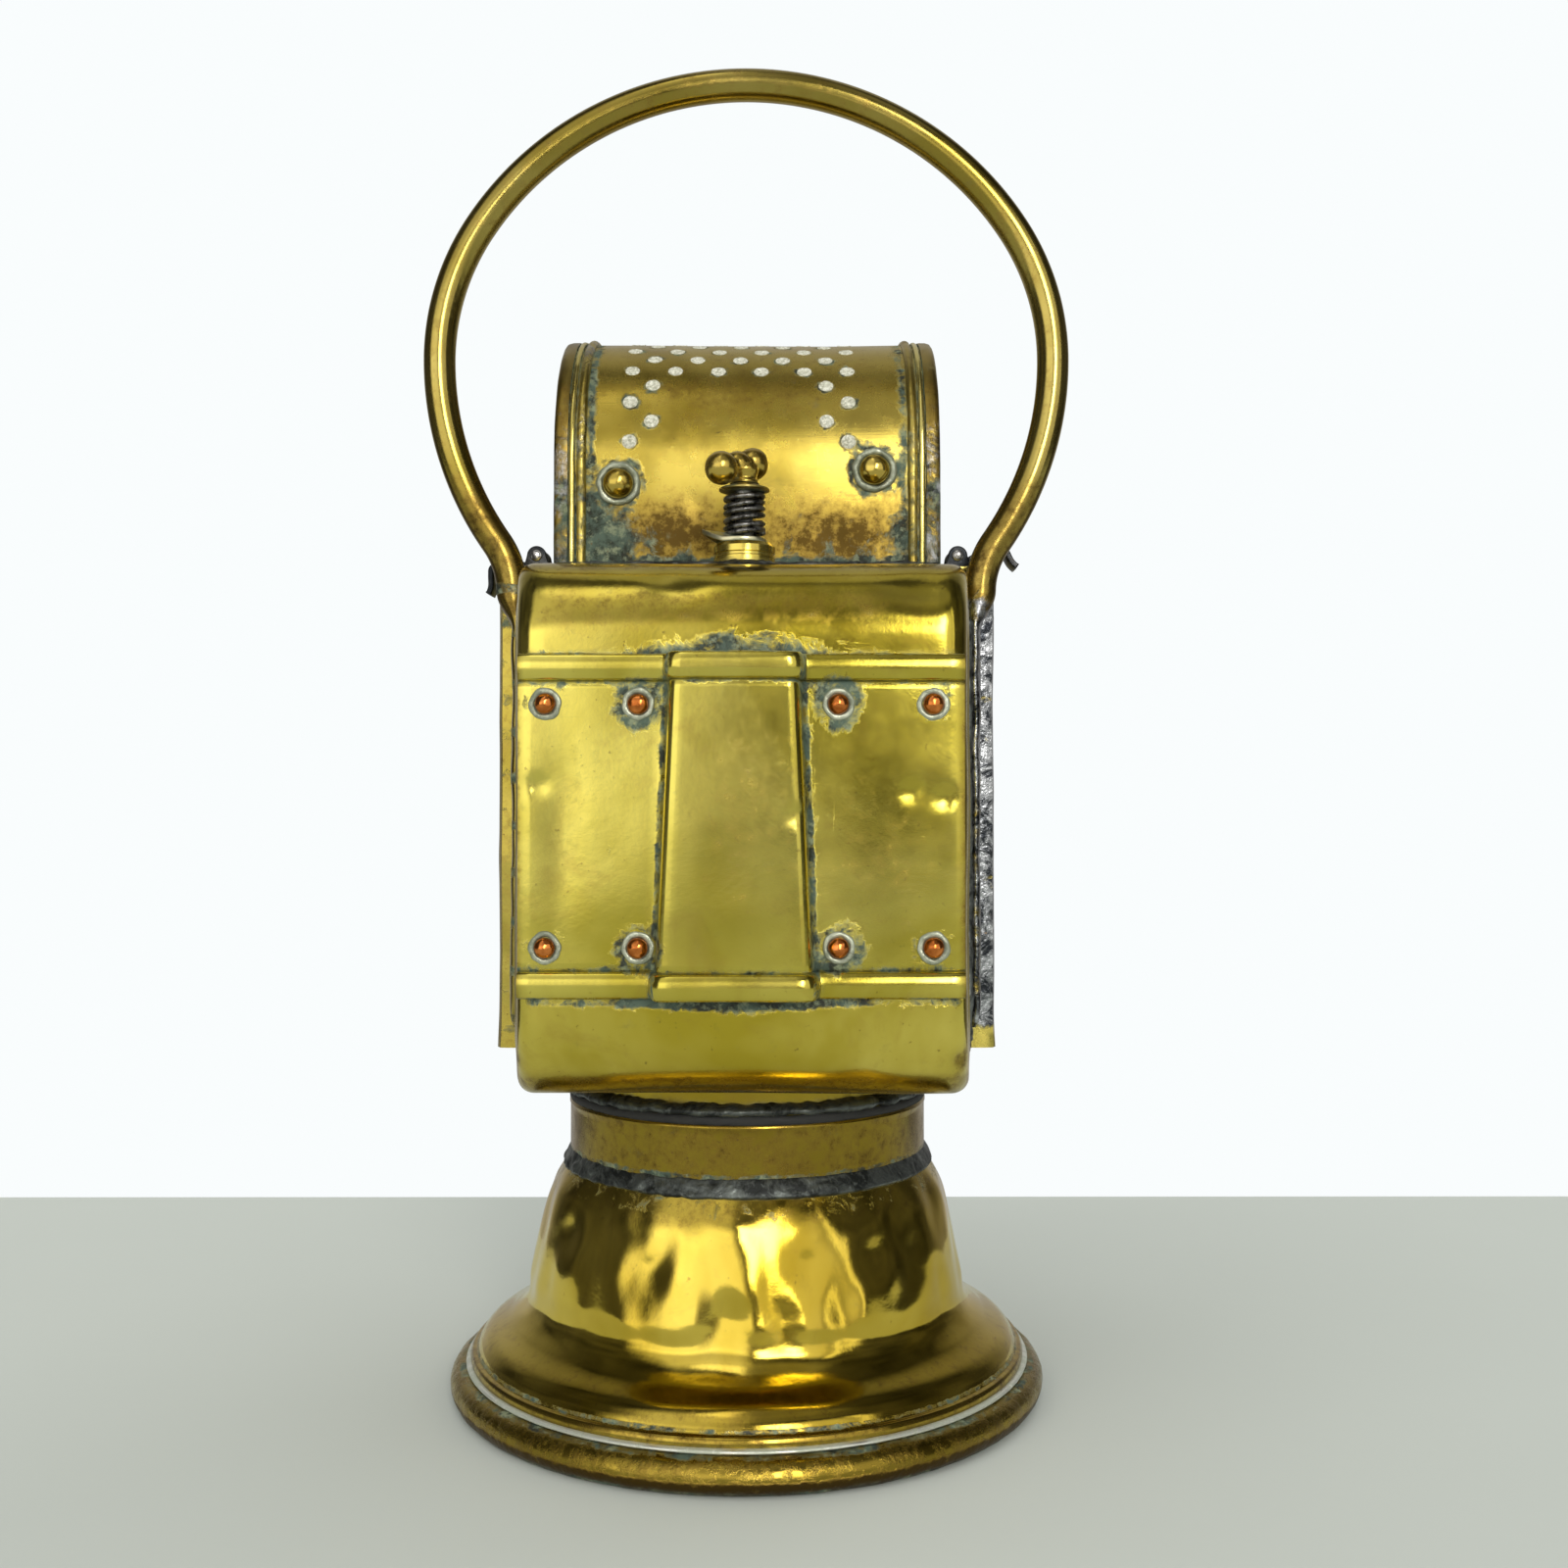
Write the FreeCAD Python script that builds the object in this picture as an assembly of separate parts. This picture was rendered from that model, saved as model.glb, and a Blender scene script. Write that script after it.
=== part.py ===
"""Brass carbide hand lamp: a round generator base that screws under a square lamp house.

Millimetres. The origin is the middle of the foot on the surface that it stands on, +Z is up, the lens
faces +Y and the water tank with its bracket faces -Y. Every function below makes one sub-part.
"""
import FreeCAD, Part
import math
import os

V = FreeCAD.Vector
X, Y, Z = V(1, 0, 0), V(0, 1, 0), V(0, 0, 1)

# ---- driving dimensions --------------------------------------------------------------------------
SHEET = 0.8                 # brass sheet of the shells
GAP = 0.3                   # clearance between bodies that move apart
SHAFT_GAP = 0.05            # radial running clearance of pins and spindles

FOOT_R = 58.2               # outside of the rolled foot rim
RIM_ROLL_R = 3.3            # radius of the wire roll round the foot
RIM_ROLL_Z = 3.0            # its centre height, so that the worn underside is flat
BELL_PROFILE = [(53.9, 5.0), (54.0, 8.2), (51.9, 11.8), (46.8, 15.2), (43.2, 18.6),
                (42.2, 23.6), (40.7, 31.5), (38.6, 39.4), (35.0, 46.0)]
SLEEVE_R = 35.3             # outside of the neck sleeve
SLEEVE_Z = (42.0, 56.6)
POT_R, POT_TOP = 30.5, 41.0
FLOOR_Z = 1.4               # underside of the disc that closes the base
FLOOR_T = 1.0

GASKET_T = 1.5
SHOULDER_T = 1.0
COLLAR_R = 33.4             # outside of the collar above its shoulder
THREAD_Z = (46.5, 55.5)     # crests of the collar's thread, inside the sleeve

CASE_HALF_W = 48.2          # half width of the square lamp house
CASE_BACK, CASE_FRONT = -12.4, 53.0
CASE_Z = (67.2, 159.3)
WALL = 0.9
MID_Z = (CASE_Z[0] + CASE_Z[1]) / 2

TANK_FACE = -54.0           # rear face of the water tank
TANK_Z = (63.5, 156.3)
TANK_FACE_HALF_W = 38.4     # the sides have draft, so the tank is wider where it meets the case
TANK_BACK_HALF_W = 42.0
TANK_ROLL_R = 14.0          # large radius along the top and bottom of the tank's face
TANK_SIDE_R = 4.5
TANK_CORNER_R = 2.6

BRACKET_Z = (81.5, 139.1)
BRACKET_HALF_W = 37.3
BRACKET_T = 1.0
SOCKET_DEPTH = 5.0          # clear depth of the tapered socket for a lamp iron
SOCKET_HALF_W = (13.4, 10.9)    # outside half width of the socket at its bottom and top
SOCKET_X = -1.1             # the socket sits a little to the left of the middle
HEM_H, HEM_RAISE = 4.6, 1.1
RIVET_X = (-32.7, -17.2, 16.2, 32.0)
RIVET_Z = (90.0, 130.6)
RIVET_R, RIVET_SEAT_R = 1.8, 2.6

HANDLE_Y = -17.0
HANDLE_R = 3.0
HANDLE_BORE_R = 2.2
HANDLE_W = 58.65            # half width of the loop, to the tube's centreline
HANDLE_W_Z = 199.0          # height of the widest point
HANDLE_TOP_R, HANDLE_SIDE_R, HANDLE_LOW_R, HANDLE_HEEL_R = 61.0, 46.5, 61.0, 16.0
HANDLE_LOW_TURN = math.radians(35)
LEG_X, LEG_Z = 43.4, (72.0, 147.0)
LEG_SEMI_X, LEG_SEMI_Y = 1.3, 4.4

HOOD_HALF_LEN = 37.9        # chimney, from its middle to the outside of an end cap
HOOD_R = 30.6
HOOD_Y = 20.6               # centre of the chimney's arch
HOOD_SPRING_Z = 181.1       # height where the arch starts
ROOF_Z = 159.35
ROOF_T = 1.0
HOLE_R = 1.4
HOLE_PITCH = 8.6            # along a row; neighbouring rows are staggered by half of it
HOLE_ROW_ARC = 4.4          # from row to row, along the arch
HOLE_SHIFT_X = -1.6
HOOD_RIVETS = [(-25.2, 176.8), (24.9, 179.5)]
HOOD_RIVET_R, HOOD_RIVET_SEAT_R = 3.0, 4.4
HOOD_BEADS = [(32.4, 0.95), (34.3, 0.6)]    # distance from the middle and radius

VALVE_Y = -33.0
SPINDLE_R = 1.7
COLLAR_TOP = 161.0          # top of the valve collar on the tank
VALVE_COLLAR_R = 5.6
INDEX_T = 0.9
SPRING_R, SPRING_WIRE_R, SPRING_TURNS = 3.2, 0.5, 5
SPRING_Z = (161.9, 170.4)
CAP_T, CAP_R = 1.4, 4.6
TEE_X, TEE_Z = -1.3, 175.2  # the tee sits off the spindle's axis
TEE_ARM, TEE_BALL_R = 6.4, 3.0
TEE_ANGLE = 64.5            # of the tee from the X axis, seen from above
TEE_TILT = 14.0             # the tee is bent out of level, its rear ball (-Y) lower
SEAT_TOP = 74.0

CLIP_X, CLIP_Z = 41.3, 162.9    # pivot of a roof clip
CLIP_Y = (-9.0, -1.0)
CLIP_EYE_R, CLIP_PIN_R = 1.9, 0.8
CLIP_STRAP, CLIP_HOOK_T = 1.3, 2.1
CLIP_REACH = 49.4           # from the middle to the inside of the hook
CLIP_HOOK_Z = 155.4
CLIP_RIGHT_LIFT = 28        # degrees; the right clip rests unhooked
LUG_T = 1.4

DOOR_HALF_W = 46.5
DOOR_Z = (69.0, 156.8)
DOOR_DEPTH = 3.2
DOOR_BACK = CASE_FRONT + GAP
LENS_R, LENS_EDGE, LENS_DOME = 34.0, 2.2, 7.4
LENS_HOLE_R = 31.5
BEZEL_R, BEZEL_DEPTH = 39.0, 4.8
HINGE_X, HINGE_Y = -50.0, 53.6
HINGE_PIN_R, HINGE_KNUCKLE_R = 0.9, 1.8
HINGE_Z = (90.0, 136.0)
HINGE_HALF_H, KNUCKLE_HALF_H = 7.5, 2.4

BURNER_Y = 22.0
DRIP_Y = -4.0
DRIP_R, DRIP_BORE_R = 1.6, 1.0
DRIP_Z = 70.0
REFLECTOR_VERTEX_Y, REFLECTOR_R, REFLECTOR_DEPTH = 3.0, 36.0, 18.0


# ---- small tools ---------------------------------------------------------------------------------
def box(x, y, z):
    """A block from three (low, high) pairs."""
    return Part.makeBox(x[1] - x[0], y[1] - y[0], z[1] - z[0], V(x[0], y[0], z[0]))


def rod(radius, start, axis, length):
    return Part.makeCylinder(radius, length, start, axis)


def post(radius, x, y, z):
    """An upright cylinder between two heights."""
    return rod(radius, V(x, y, z[0]), Z, z[1] - z[0])


def ring(inner, outer, z, x=0.0, y=0.0):
    return post(outer, x, y, z).cut(post(inner, x, y, z))


def face_of(edges):
    return Part.Face(Part.Wire(edges))


def polygon(points):
    return Part.Face(Part.makePolygon([V(*p) for p in points] + [V(*points[0])]))


def turned(outline):
    """Turns an outline of (radius, height) points round the Z axis."""
    return polygon([(r, 0, z) for r, z in outline]).revolve(V(0, 0, 0), Z, 360)


def turned_on_y(outline, z):
    """Turns an outline of (radius, y) points round the horizontal axis that runs along Y at height z."""
    return polygon([(r, y, z) for r, y in outline]).revolve(V(0, 0, z), Y, 360)


def torus(radius, tube, z):
    return Part.makeTorus(radius, tube, V(0, 0, z), Z)


def dome(radius, height, centre, direction):
    """A rivet head: a spherical cap of the given base radius standing on a point."""
    ball_r = (radius ** 2 + height ** 2) / (2 * height)
    ball = Part.makeSphere(ball_r, centre + direction * (height - ball_r))
    return ball.common(rod(radius, centre, direction, height + 1))


def both_sides(make):
    """The same piece on the left (-1) and on the right (+1), as one shape."""
    return Part.makeCompound([make(-1), make(1)])


def arc(centre, radius, start, end, y):
    """Arc in the XZ plane at y, between two angles in radians, through the middle one."""
    angles = (start, (start + end) / 2, end)
    points = [V(centre[0] + radius * math.cos(a), y, centre[1] + radius * math.sin(a)) for a in angles]
    return Part.Arc(*points).toShape()


def pipe(path_edges, radius, start, direction):
    """A round bar along tangent edges."""
    circle = Part.Wire(Part.makeCircle(radius, start, direction))
    return Part.Wire(path_edges).makePipeShell([circle], True, False)


# ---- generator base ------------------------------------------------------------------------------
def offset_inward(points, distance):
    """Moves a profile of (radius, height) points towards the axis side of its own line."""
    moved = []
    for i, (r, z) in enumerate(points):
        before, after = points[max(i - 1, 0)], points[min(i + 1, len(points) - 1)]
        dr, dz = after[0] - before[0], after[1] - before[1]
        length = math.hypot(dr, dz)
        moved.append((r - distance * dz / length, z + distance * dr / length))
    return moved


def spline_edge(points):
    curve = Part.BSplineCurve()
    curve.interpolate([V(r, 0, z) for r, z in points])
    return curve.toShape()


def rim_roll(clearance=0.0):
    return torus(FOOT_R - RIM_ROLL_R, RIM_ROLL_R + clearance, RIM_ROLL_Z)


def foot_rim():
    return rim_roll().common(post(FOOT_R + 1, 0, 0, (0, 2 * RIM_ROLL_Z + 1)))


def foot_bell():
    inside = offset_inward(BELL_PROFILE, SHEET + 0.1)
    outer, inner = spline_edge(BELL_PROFILE), spline_edge(inside)
    ends = [Part.makeLine(V(a[0], 0, a[1]), V(b[0], 0, b[1]))
            for a, b in ((BELL_PROFILE[-1], inside[-1]), (BELL_PROFILE[0], inside[0]))]
    shell = face_of([outer, ends[0], inner, ends[1]]).revolve(V(0, 0, 0), Z, 360)
    return shell.cut(rim_roll(SHAFT_GAP)).cut(post(SLEEVE_R, 0, 0, SLEEVE_Z))


def rim_solder():
    low, wall = RIM_ROLL_Z + RIM_ROLL_R + 0.02, BELL_PROFILE[0][0] - 0.4
    return turned([(wall, low), (wall + 1.7, low), (wall + 1.0, low + 1.0), (wall, low + 1.4)]).cut(foot_bell())


def base_floor():
    disc = post(FOOT_R - 2 * RIM_ROLL_R, 0, 0, (FLOOR_Z, FLOOR_Z + FLOOR_T))
    stiffening_bead = torus(20, 0.9, FLOOR_Z + FLOOR_T)
    return disc.fuse(stiffening_bead.common(post(25, 0, 0, (FLOOR_Z, FLOOR_Z + 2))))


def neck_sleeve():
    return ring(SLEEVE_R - SHEET, SLEEVE_R, SLEEVE_Z)


def sleeve_solder():
    seam = turned([(SLEEVE_R, 48.4), (SLEEVE_R + 0.7, 47.9), (SLEEVE_R + 2.5, 43.6), (SLEEVE_R, 43.6)])
    return seam.cut(foot_bell())


def carbide_pot():
    bottom = FLOOR_Z + FLOOR_T + 1.0
    pot = ring(POT_R - SHEET, POT_R, (bottom, POT_TOP))
    floor = post(POT_R, 0, 0, (bottom, bottom + SHEET))
    rolled_lip = torus(POT_R, 0.9, POT_TOP)
    feet = ring(POT_R - 6, POT_R - 4, (FLOOR_Z + FLOOR_T, bottom))
    return pot.fuse([floor, rolled_lip, feet])


# ---- joint between the base and the lamp house ---------------------------------------------------
GASKET_Z = (SLEEVE_Z[1] + SHAFT_GAP, SLEEVE_Z[1] + SHAFT_GAP + GASKET_T)
SHOULDER_Z = (GASKET_Z[1] + SHAFT_GAP, GASKET_Z[1] + SHAFT_GAP + SHOULDER_T)
SPIGOT_R = 33.0
SPIGOT_BORE_R = 32.2


def neck_gasket():
    return ring(SPIGOT_R + SHAFT_GAP, SLEEVE_R - 0.1, GASKET_Z)


def upper_collar():
    spigot = ring(SPIGOT_BORE_R, SPIGOT_R, (THREAD_Z[0], SHOULDER_Z[0]))
    thread = ring(SPIGOT_BORE_R, SLEEVE_R - SHEET - 0.08, THREAD_Z)
    shoulder = ring(SPIGOT_BORE_R, SLEEVE_R - 0.3, SHOULDER_Z)
    tube = ring(SPIGOT_BORE_R, COLLAR_R, (SHOULDER_Z[0], CASE_Z[0]))
    under_tank = box((-40, 40), (-40, CASE_BACK + WALL), (TANK_Z[0], CASE_Z[0] + 1))
    return spigot.fuse([thread, shoulder, tube]).cut(under_tank)


def collar_solder():
    low = SHOULDER_Z[1]
    return turned([(COLLAR_R, low), (SLEEVE_R - 0.5, low), (COLLAR_R + 0.6, low + 3.2), (COLLAR_R, low + 3.6)])


def gas_filter():
    return post(SPIGOT_BORE_R - 0.1, 0, 0, (60.5, 63.0)).cut(post(DRIP_R + 0.1, 0, DRIP_Y, (60, 64)))


# ---- lamp house ----------------------------------------------------------------------------------
def case_floor():
    inside = CASE_HALF_W - WALL
    plate = box((-inside, inside), (CASE_BACK + WALL, CASE_FRONT - WALL), (CASE_Z[0], CASE_Z[0] + WALL))
    holes = [post(DRIP_R + 1, 0, DRIP_Y - 0.6, (60, 75)), post(2.55, 0, BURNER_Y, (60, 75))]
    return plate.cut(holes)


def case_side(side):
    """A side wall with a row of air holes near its bottom."""
    outside, inside = side * CASE_HALF_W, side * (CASE_HALF_W - WALL)
    wall = box(sorted((outside, inside)), (CASE_BACK + WALL, CASE_FRONT - WALL), CASE_Z)
    holes = [rod(1.6, V(side * (CASE_HALF_W - 3), y, 78), X * side, 6) for y in range(0, 49, 8)]
    return wall.cut(holes)


def case_rear_wall():
    """The wall also closes the back of the tank, so it reaches down to the tank's bottom."""
    y = (CASE_BACK, CASE_BACK + WALL)
    wall = box((-CASE_HALF_W, CASE_HALF_W), y, CASE_Z)
    apron = box((1 - TANK_BACK_HALF_W, TANK_BACK_HALF_W - 1), y, (TANK_Z[0], CASE_Z[0] + 1))
    drip_hole = rod(DRIP_R + SHAFT_GAP, V(0, CASE_BACK - 1, DRIP_Z), Y, 4)
    return wall.fuse(apron).removeSplitter().cut(drip_hole)


def front_frame():
    plate = box((-CASE_HALF_W, CASE_HALF_W), (CASE_FRONT - WALL, CASE_FRONT), CASE_Z)
    window = box((-39, 39), (CASE_FRONT - 3, CASE_FRONT + 3), (CASE_Z[0] + 9, CASE_Z[1] - 9))
    upright = [e for e in window.Edges if abs(e.tangentAt(0).y) > 0.9]
    return plate.cut(window.makeFillet(6, upright))


def tank_block(skin):
    """The tank's outside, or its inside when skin is the sheet thickness."""
    low, high = TANK_Z[0] + skin, TANK_Z[1] - skin
    face, back = TANK_FACE + skin, CASE_BACK
    roll = TANK_ROLL_R - skin
    half = roll * math.sqrt(0.5)
    wide = TANK_BACK_HALF_W + 10

    def yz(y, z):
        return V(-wide, y, z)

    centres = ((face + roll, low + roll, -1), (face + roll, high - roll, 1))
    bends = [Part.Arc(yz(cy, cz + s * roll), yz(cy - half, cz + s * half), yz(cy - roll, cz)).toShape()
             for cy, cz, s in centres]
    side_view = face_of([
        Part.makeLine(yz(back, low), yz(face + roll, low)), bends[0],
        Part.makeLine(yz(face, low + roll), yz(face, high - roll)), bends[1],
        Part.makeLine(yz(face + roll, high), yz(back, high)),
        Part.makeLine(yz(back, high), yz(back, low))]).extrude(X * 2 * wide)

    near, far = TANK_FACE_HALF_W - skin, TANK_BACK_HALF_W - skin
    plan = polygon([(-near, face, low), (near, face, low), (far, back, low), (-far, back, low)])
    plan = plan.extrude(Z * (high - low))
    face_edges = [e for e in plan.Edges if abs(e.tangentAt(0).z) > 0.9 and e.CenterOfMass.y < face + 1]
    plan = plan.makeFillet(TANK_SIDE_R - skin, face_edges)

    front_view = box((-far, far), (face - 1, back), (low, high))
    corners = [e for e in front_view.Edges if abs(e.tangentAt(0).y) > 0.9]
    front_view = front_view.makeFillet(TANK_CORNER_R - skin, corners)
    return side_view.common(plan).common(front_view)


def tank_pan():
    neck_hole = post(SPINDLE_R + SHAFT_GAP, 0, VALVE_Y, (TANK_Z[1] - 3, TANK_Z[1] + 3))
    return tank_block(0).cut(tank_block(SHEET)).cut(neck_hole)


def tank_solder():
    """Solder fillet where the tank meets the rear wall, along its sides and top."""
    width = 1.0
    frame = box((-TANK_BACK_HALF_W - width, TANK_BACK_HALF_W + width), (CASE_BACK - width, CASE_BACK),
                (TANK_Z[0] + 1, TANK_Z[1] + width))
    slope = [e for e in frame.Edges if e.CenterOfMass.y < CASE_BACK - width / 2 and e.CenterOfMass.z > 70]
    return frame.makeChamfer(0.6 * width, slope).cut(tank_block(0)).cut(carry_handle())


# ---- bracket with the tapered socket -------------------------------------------------------------
def socket_block(grow, depth):
    """The tapered channel as a block, its outline grown sideways, standing out of the tank's face."""
    sections = []
    for half, z in zip(SOCKET_HALF_W, BRACKET_Z):
        wide = half + grow
        corners = [(-wide, TANK_FACE, z), (wide, TANK_FACE, z),
                   (wide - 0.8, TANK_FACE - depth, z), (-wide + 0.8, TANK_FACE - depth, z)]
        sections.append(Part.makePolygon([V(*c) + X * SOCKET_X for c in corners + corners[:1]]))
    block = Part.makeLoft(sections, True, True)
    ridge = [e for e in block.Edges if abs(e.tangentAt(0).z) > 0.9 and e.CenterOfMass.y < TANK_FACE - 1]
    return block.makeFillet(1.3, ridge)


def bracket_plate():
    depth = SOCKET_DEPTH + BRACKET_T
    sides = (-BRACKET_HALF_W, BRACKET_HALF_W)
    wings = box(sides, (TANK_FACE - BRACKET_T, TANK_FACE), BRACKET_Z)
    raised = wings.fuse(socket_block(0, depth))
    hem_skin = box(sides, (TANK_FACE - BRACKET_T - HEM_RAISE, TANK_FACE), BRACKET_Z)
    hem_skin = hem_skin.fuse(socket_block(HEM_RAISE, depth + HEM_RAISE))
    for low in (BRACKET_Z[0], BRACKET_Z[1] - HEM_H):
        raised = raised.fuse(hem_skin.common(box((-60, 60), (-80, TANK_FACE), (low, low + HEM_H))))
    rivet_holes = [rod(1.0, V(x, TANK_FACE - 5, z), Y, 6) for x in RIVET_X for z in RIVET_Z]
    return raised.cut(socket_block(-BRACKET_T, SOCKET_DEPTH)).cut(rivet_holes).removeSplitter()


def bracket_rivets():
    out = -Y
    face = TANK_FACE - BRACKET_T - 0.4
    made = []
    for x in RIVET_X:
        for z in RIVET_Z:
            shank = rod(1.0, V(x, TANK_FACE, z), out, TANK_FACE - face)
            made.append(dome(RIVET_R, 1.3, V(x, face, z), out).fuse(shank))
    return Part.makeCompound(made)


def rivet_seats():
    """A thin ring of solder under each rivet head."""
    out = -Y
    face = TANK_FACE - BRACKET_T
    seats = []
    for x in RIVET_X:
        for z in RIVET_Z:
            disc = rod(RIVET_SEAT_R, V(x, face, z), out, 0.4)
            seats.append(disc.cut(rod(1.0, V(x, face + 1, z), out, 3)))
    return Part.makeCompound(seats)


# ---- handle --------------------------------------------------------------------------------------
def handle_path():
    """Tangent arcs of the loop's centreline, from the left heel over the top to the right heel."""
    side = (HANDLE_W - HANDLE_SIDE_R, HANDLE_W_Z)
    low = (HANDLE_W - HANDLE_LOW_R, HANDLE_W_Z)
    drop = math.sqrt((HANDLE_TOP_R - HANDLE_SIDE_R) ** 2 - side[0] ** 2)
    top = (0.0, HANDLE_W_Z - drop)
    meet = math.atan2(drop, side[0])
    heel = (low[0] + (HANDLE_LOW_R + HANDLE_HEEL_R) * math.cos(HANDLE_LOW_TURN),
            low[1] - (HANDLE_LOW_R + HANDLE_HEEL_R) * math.sin(HANDLE_LOW_TURN))
    right = [
        (side, HANDLE_SIDE_R, meet, 0.0),
        (low, HANDLE_LOW_R, 0.0, -HANDLE_LOW_TURN),
        (heel, HANDLE_HEEL_R, math.pi - HANDLE_LOW_TURN, math.pi),
    ]
    left = [((-c[0], c[1]), r, math.pi - end, math.pi - start) for c, r, start, end in reversed(right)]
    arcs = left + [(top, HANDLE_TOP_R, math.pi - meet, meet)] + right
    return [arc(*a, HANDLE_Y) for a in arcs], heel[0] - HANDLE_HEEL_R, heel[1]


def handle_bar(radius, semi_x, semi_y, extra):
    """The loop as a round bar with both ends pressed flat; extra lengthens the legs downwards."""
    edges, heel_x, heel_z = handle_path()
    bar = pipe(edges, radius, V(-heel_x, HANDLE_Y, heel_z), Z)
    for side in (-1, 1):
        top = V(side * LEG_X, HANDLE_Y, LEG_Z[1])
        heel = V(side * heel_x, HANDLE_Y, heel_z)
        flat = Part.Wire(Part.Ellipse(top + Y * semi_y, top + X * semi_x, top).toShape())
        circle = Part.makeCircle(radius, heel, Z)
        circle.rotate(heel, Z, 90)
        leg = Part.Face(flat).extrude(Z * (LEG_Z[0] - LEG_Z[1] - extra))
        bar = bar.fuse(Part.makeLoft([flat, Part.Wire(circle)], True)).fuse(leg)
    return bar


def carry_handle():
    outside = handle_bar(HANDLE_R, LEG_SEMI_X, LEG_SEMI_Y, 0)
    bore = handle_bar(HANDLE_BORE_R, 0.45, 3.4, 2)
    return outside.cut(bore)


# ---- water valve ---------------------------------------------------------------------------------
def valve_collar():
    body = ring(SPINDLE_R + SHAFT_GAP, VALVE_COLLAR_R, (TANK_Z[1], COLLAR_TOP), 0, VALVE_Y)
    rims = [e for e in body.Edges if e.BoundBox.XLength > 2 * VALVE_COLLAR_R - 0.1 and e.CenterOfMass.z > 160]
    return body.makeChamfer(0.7, rims)


def valve_index():
    """Leaf-shaped index on the collar that shows how far the valve is open."""
    z = (COLLAR_TOP, COLLAR_TOP + INDEX_T)
    disc = post(4.0, 0, VALVE_Y, z)
    lobe_r, reach = 6.2, 7.2
    leaf = post(lobe_r, -reach / 2, VALVE_Y - 7.3, z).common(post(lobe_r, -reach / 2, VALVE_Y + 1.9, z))
    return disc.fuse(leaf).cut(post(SPINDLE_R + SHAFT_GAP, 0, VALVE_Y, (160, 166)))


def valve_spring():
    turns_height = SPRING_Z[1] - SPRING_Z[0] - 2 * SPRING_WIRE_R
    path = Part.makeHelix(turns_height / SPRING_TURNS, turns_height, SPRING_R)
    circle = Part.Wire(Part.makeCircle(SPRING_WIRE_R, V(SPRING_R, 0, 0), Y))
    coil = Part.Wire(path.Edges).makePipeShell([circle], True, True)
    coil.translate(V(0, VALVE_Y, SPRING_Z[0] + SPRING_WIRE_R))
    return coil


def spring_cap():
    low, high = SPRING_Z[1], SPRING_Z[1] + CAP_T
    bore = SPINDLE_R + SHAFT_GAP
    cap = turned([(bore, low), (CAP_R, low), (CAP_R, low + 0.5), (3.0, high), (bore, high)])
    cap.translate(V(0, VALVE_Y, 0))
    return cap


def valve_spindle():
    tip, cone = SEAT_TOP - 3.0, 2.5
    shaft = post(SPINDLE_R, 0, VALVE_Y, (tip + cone, TEE_Z))
    needle = Part.makeCone(0.5, SPINDLE_R, cone, V(0, VALVE_Y, tip), Z)
    return shaft.fuse(needle)


def tee_handle():
    turn, tilt = math.radians(TEE_ANGLE), math.radians(TEE_TILT)
    along = V(math.cos(turn) * math.cos(tilt), math.sin(turn) * math.cos(tilt), math.sin(tilt))
    centre = V(TEE_X, VALVE_Y, TEE_Z)
    stem = post(2.6, 0, VALVE_Y, (SPRING_Z[1] + CAP_T + SHAFT_GAP, TEE_Z))
    arm = rod(1.6, centre - along * TEE_ARM, along, 2 * TEE_ARM)
    balls = [Part.makeSphere(TEE_BALL_R, centre + along * TEE_ARM * s) for s in (-1, 1)]
    hub = Part.makeSphere(2.7, centre)
    return stem.fuse([hub, arm] + balls).cut(post(SPINDLE_R, 0, VALVE_Y, (170, TEE_Z)))


def valve_seat():
    base = TANK_Z[0] + SHEET
    body = post(4.0, 0, VALVE_Y, (base, SEAT_TOP))
    needle_hole = Part.makeCone(0.6, SPINDLE_R + 0.1, 2.5, V(0, VALVE_Y, SEAT_TOP - 3.0), Z)
    well = post(SPINDLE_R + 0.1, 0, VALVE_Y, (SEAT_TOP - 0.5, SEAT_TOP + 1))
    drop = post(0.6, 0, VALVE_Y, (DRIP_Z, SEAT_TOP - 2.9))
    outlet = rod(DRIP_R, V(0, VALVE_Y + 1.5, DRIP_Z), Y, 4)
    cross = rod(0.6, V(0, VALVE_Y, DRIP_Z), Y, 4)
    return body.cut([needle_hole, well, drop, outlet, cross])


def drip_tube():
    """Carries water from the seat through the rear wall and down through the floor to the carbide."""
    bend = 4.0
    start, corner = VALVE_Y + 1.5, V(0, DRIP_Y, DRIP_Z)
    sag = bend * (1 - math.sqrt(0.5))
    path = [
        Part.makeLine(V(0, start, DRIP_Z), corner - Y * bend),
        Part.Arc(corner - Y * bend, corner - Y * sag - Z * sag, corner - Z * bend).toShape(),
        Part.makeLine(corner - Z * bend, V(0, DRIP_Y, 50.0)),
    ]
    outside = pipe(path, DRIP_R, V(0, start, DRIP_Z), Y)
    return outside.cut(pipe(path, DRIP_BORE_R, V(0, start, DRIP_Z), Y))


# ---- burner and reflector ------------------------------------------------------------------------
def gas_pipe():
    return ring(1.6, 2.5, (63.5, 97.0), 0, BURNER_Y)


def burner_body():
    hexagon = [(4.6 * math.cos(a), BURNER_Y + 4.6 * math.sin(a), 97.0)
               for a in (math.pi / 3 * i for i in range(6))]
    nut = polygon(hexagon).extrude(Z * 5)
    stem = post(3.4, 0, BURNER_Y, (102.0, 106.0))
    return nut.fuse(stem).cut(post(1.2, 0, BURNER_Y, (96, 107)))


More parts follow.
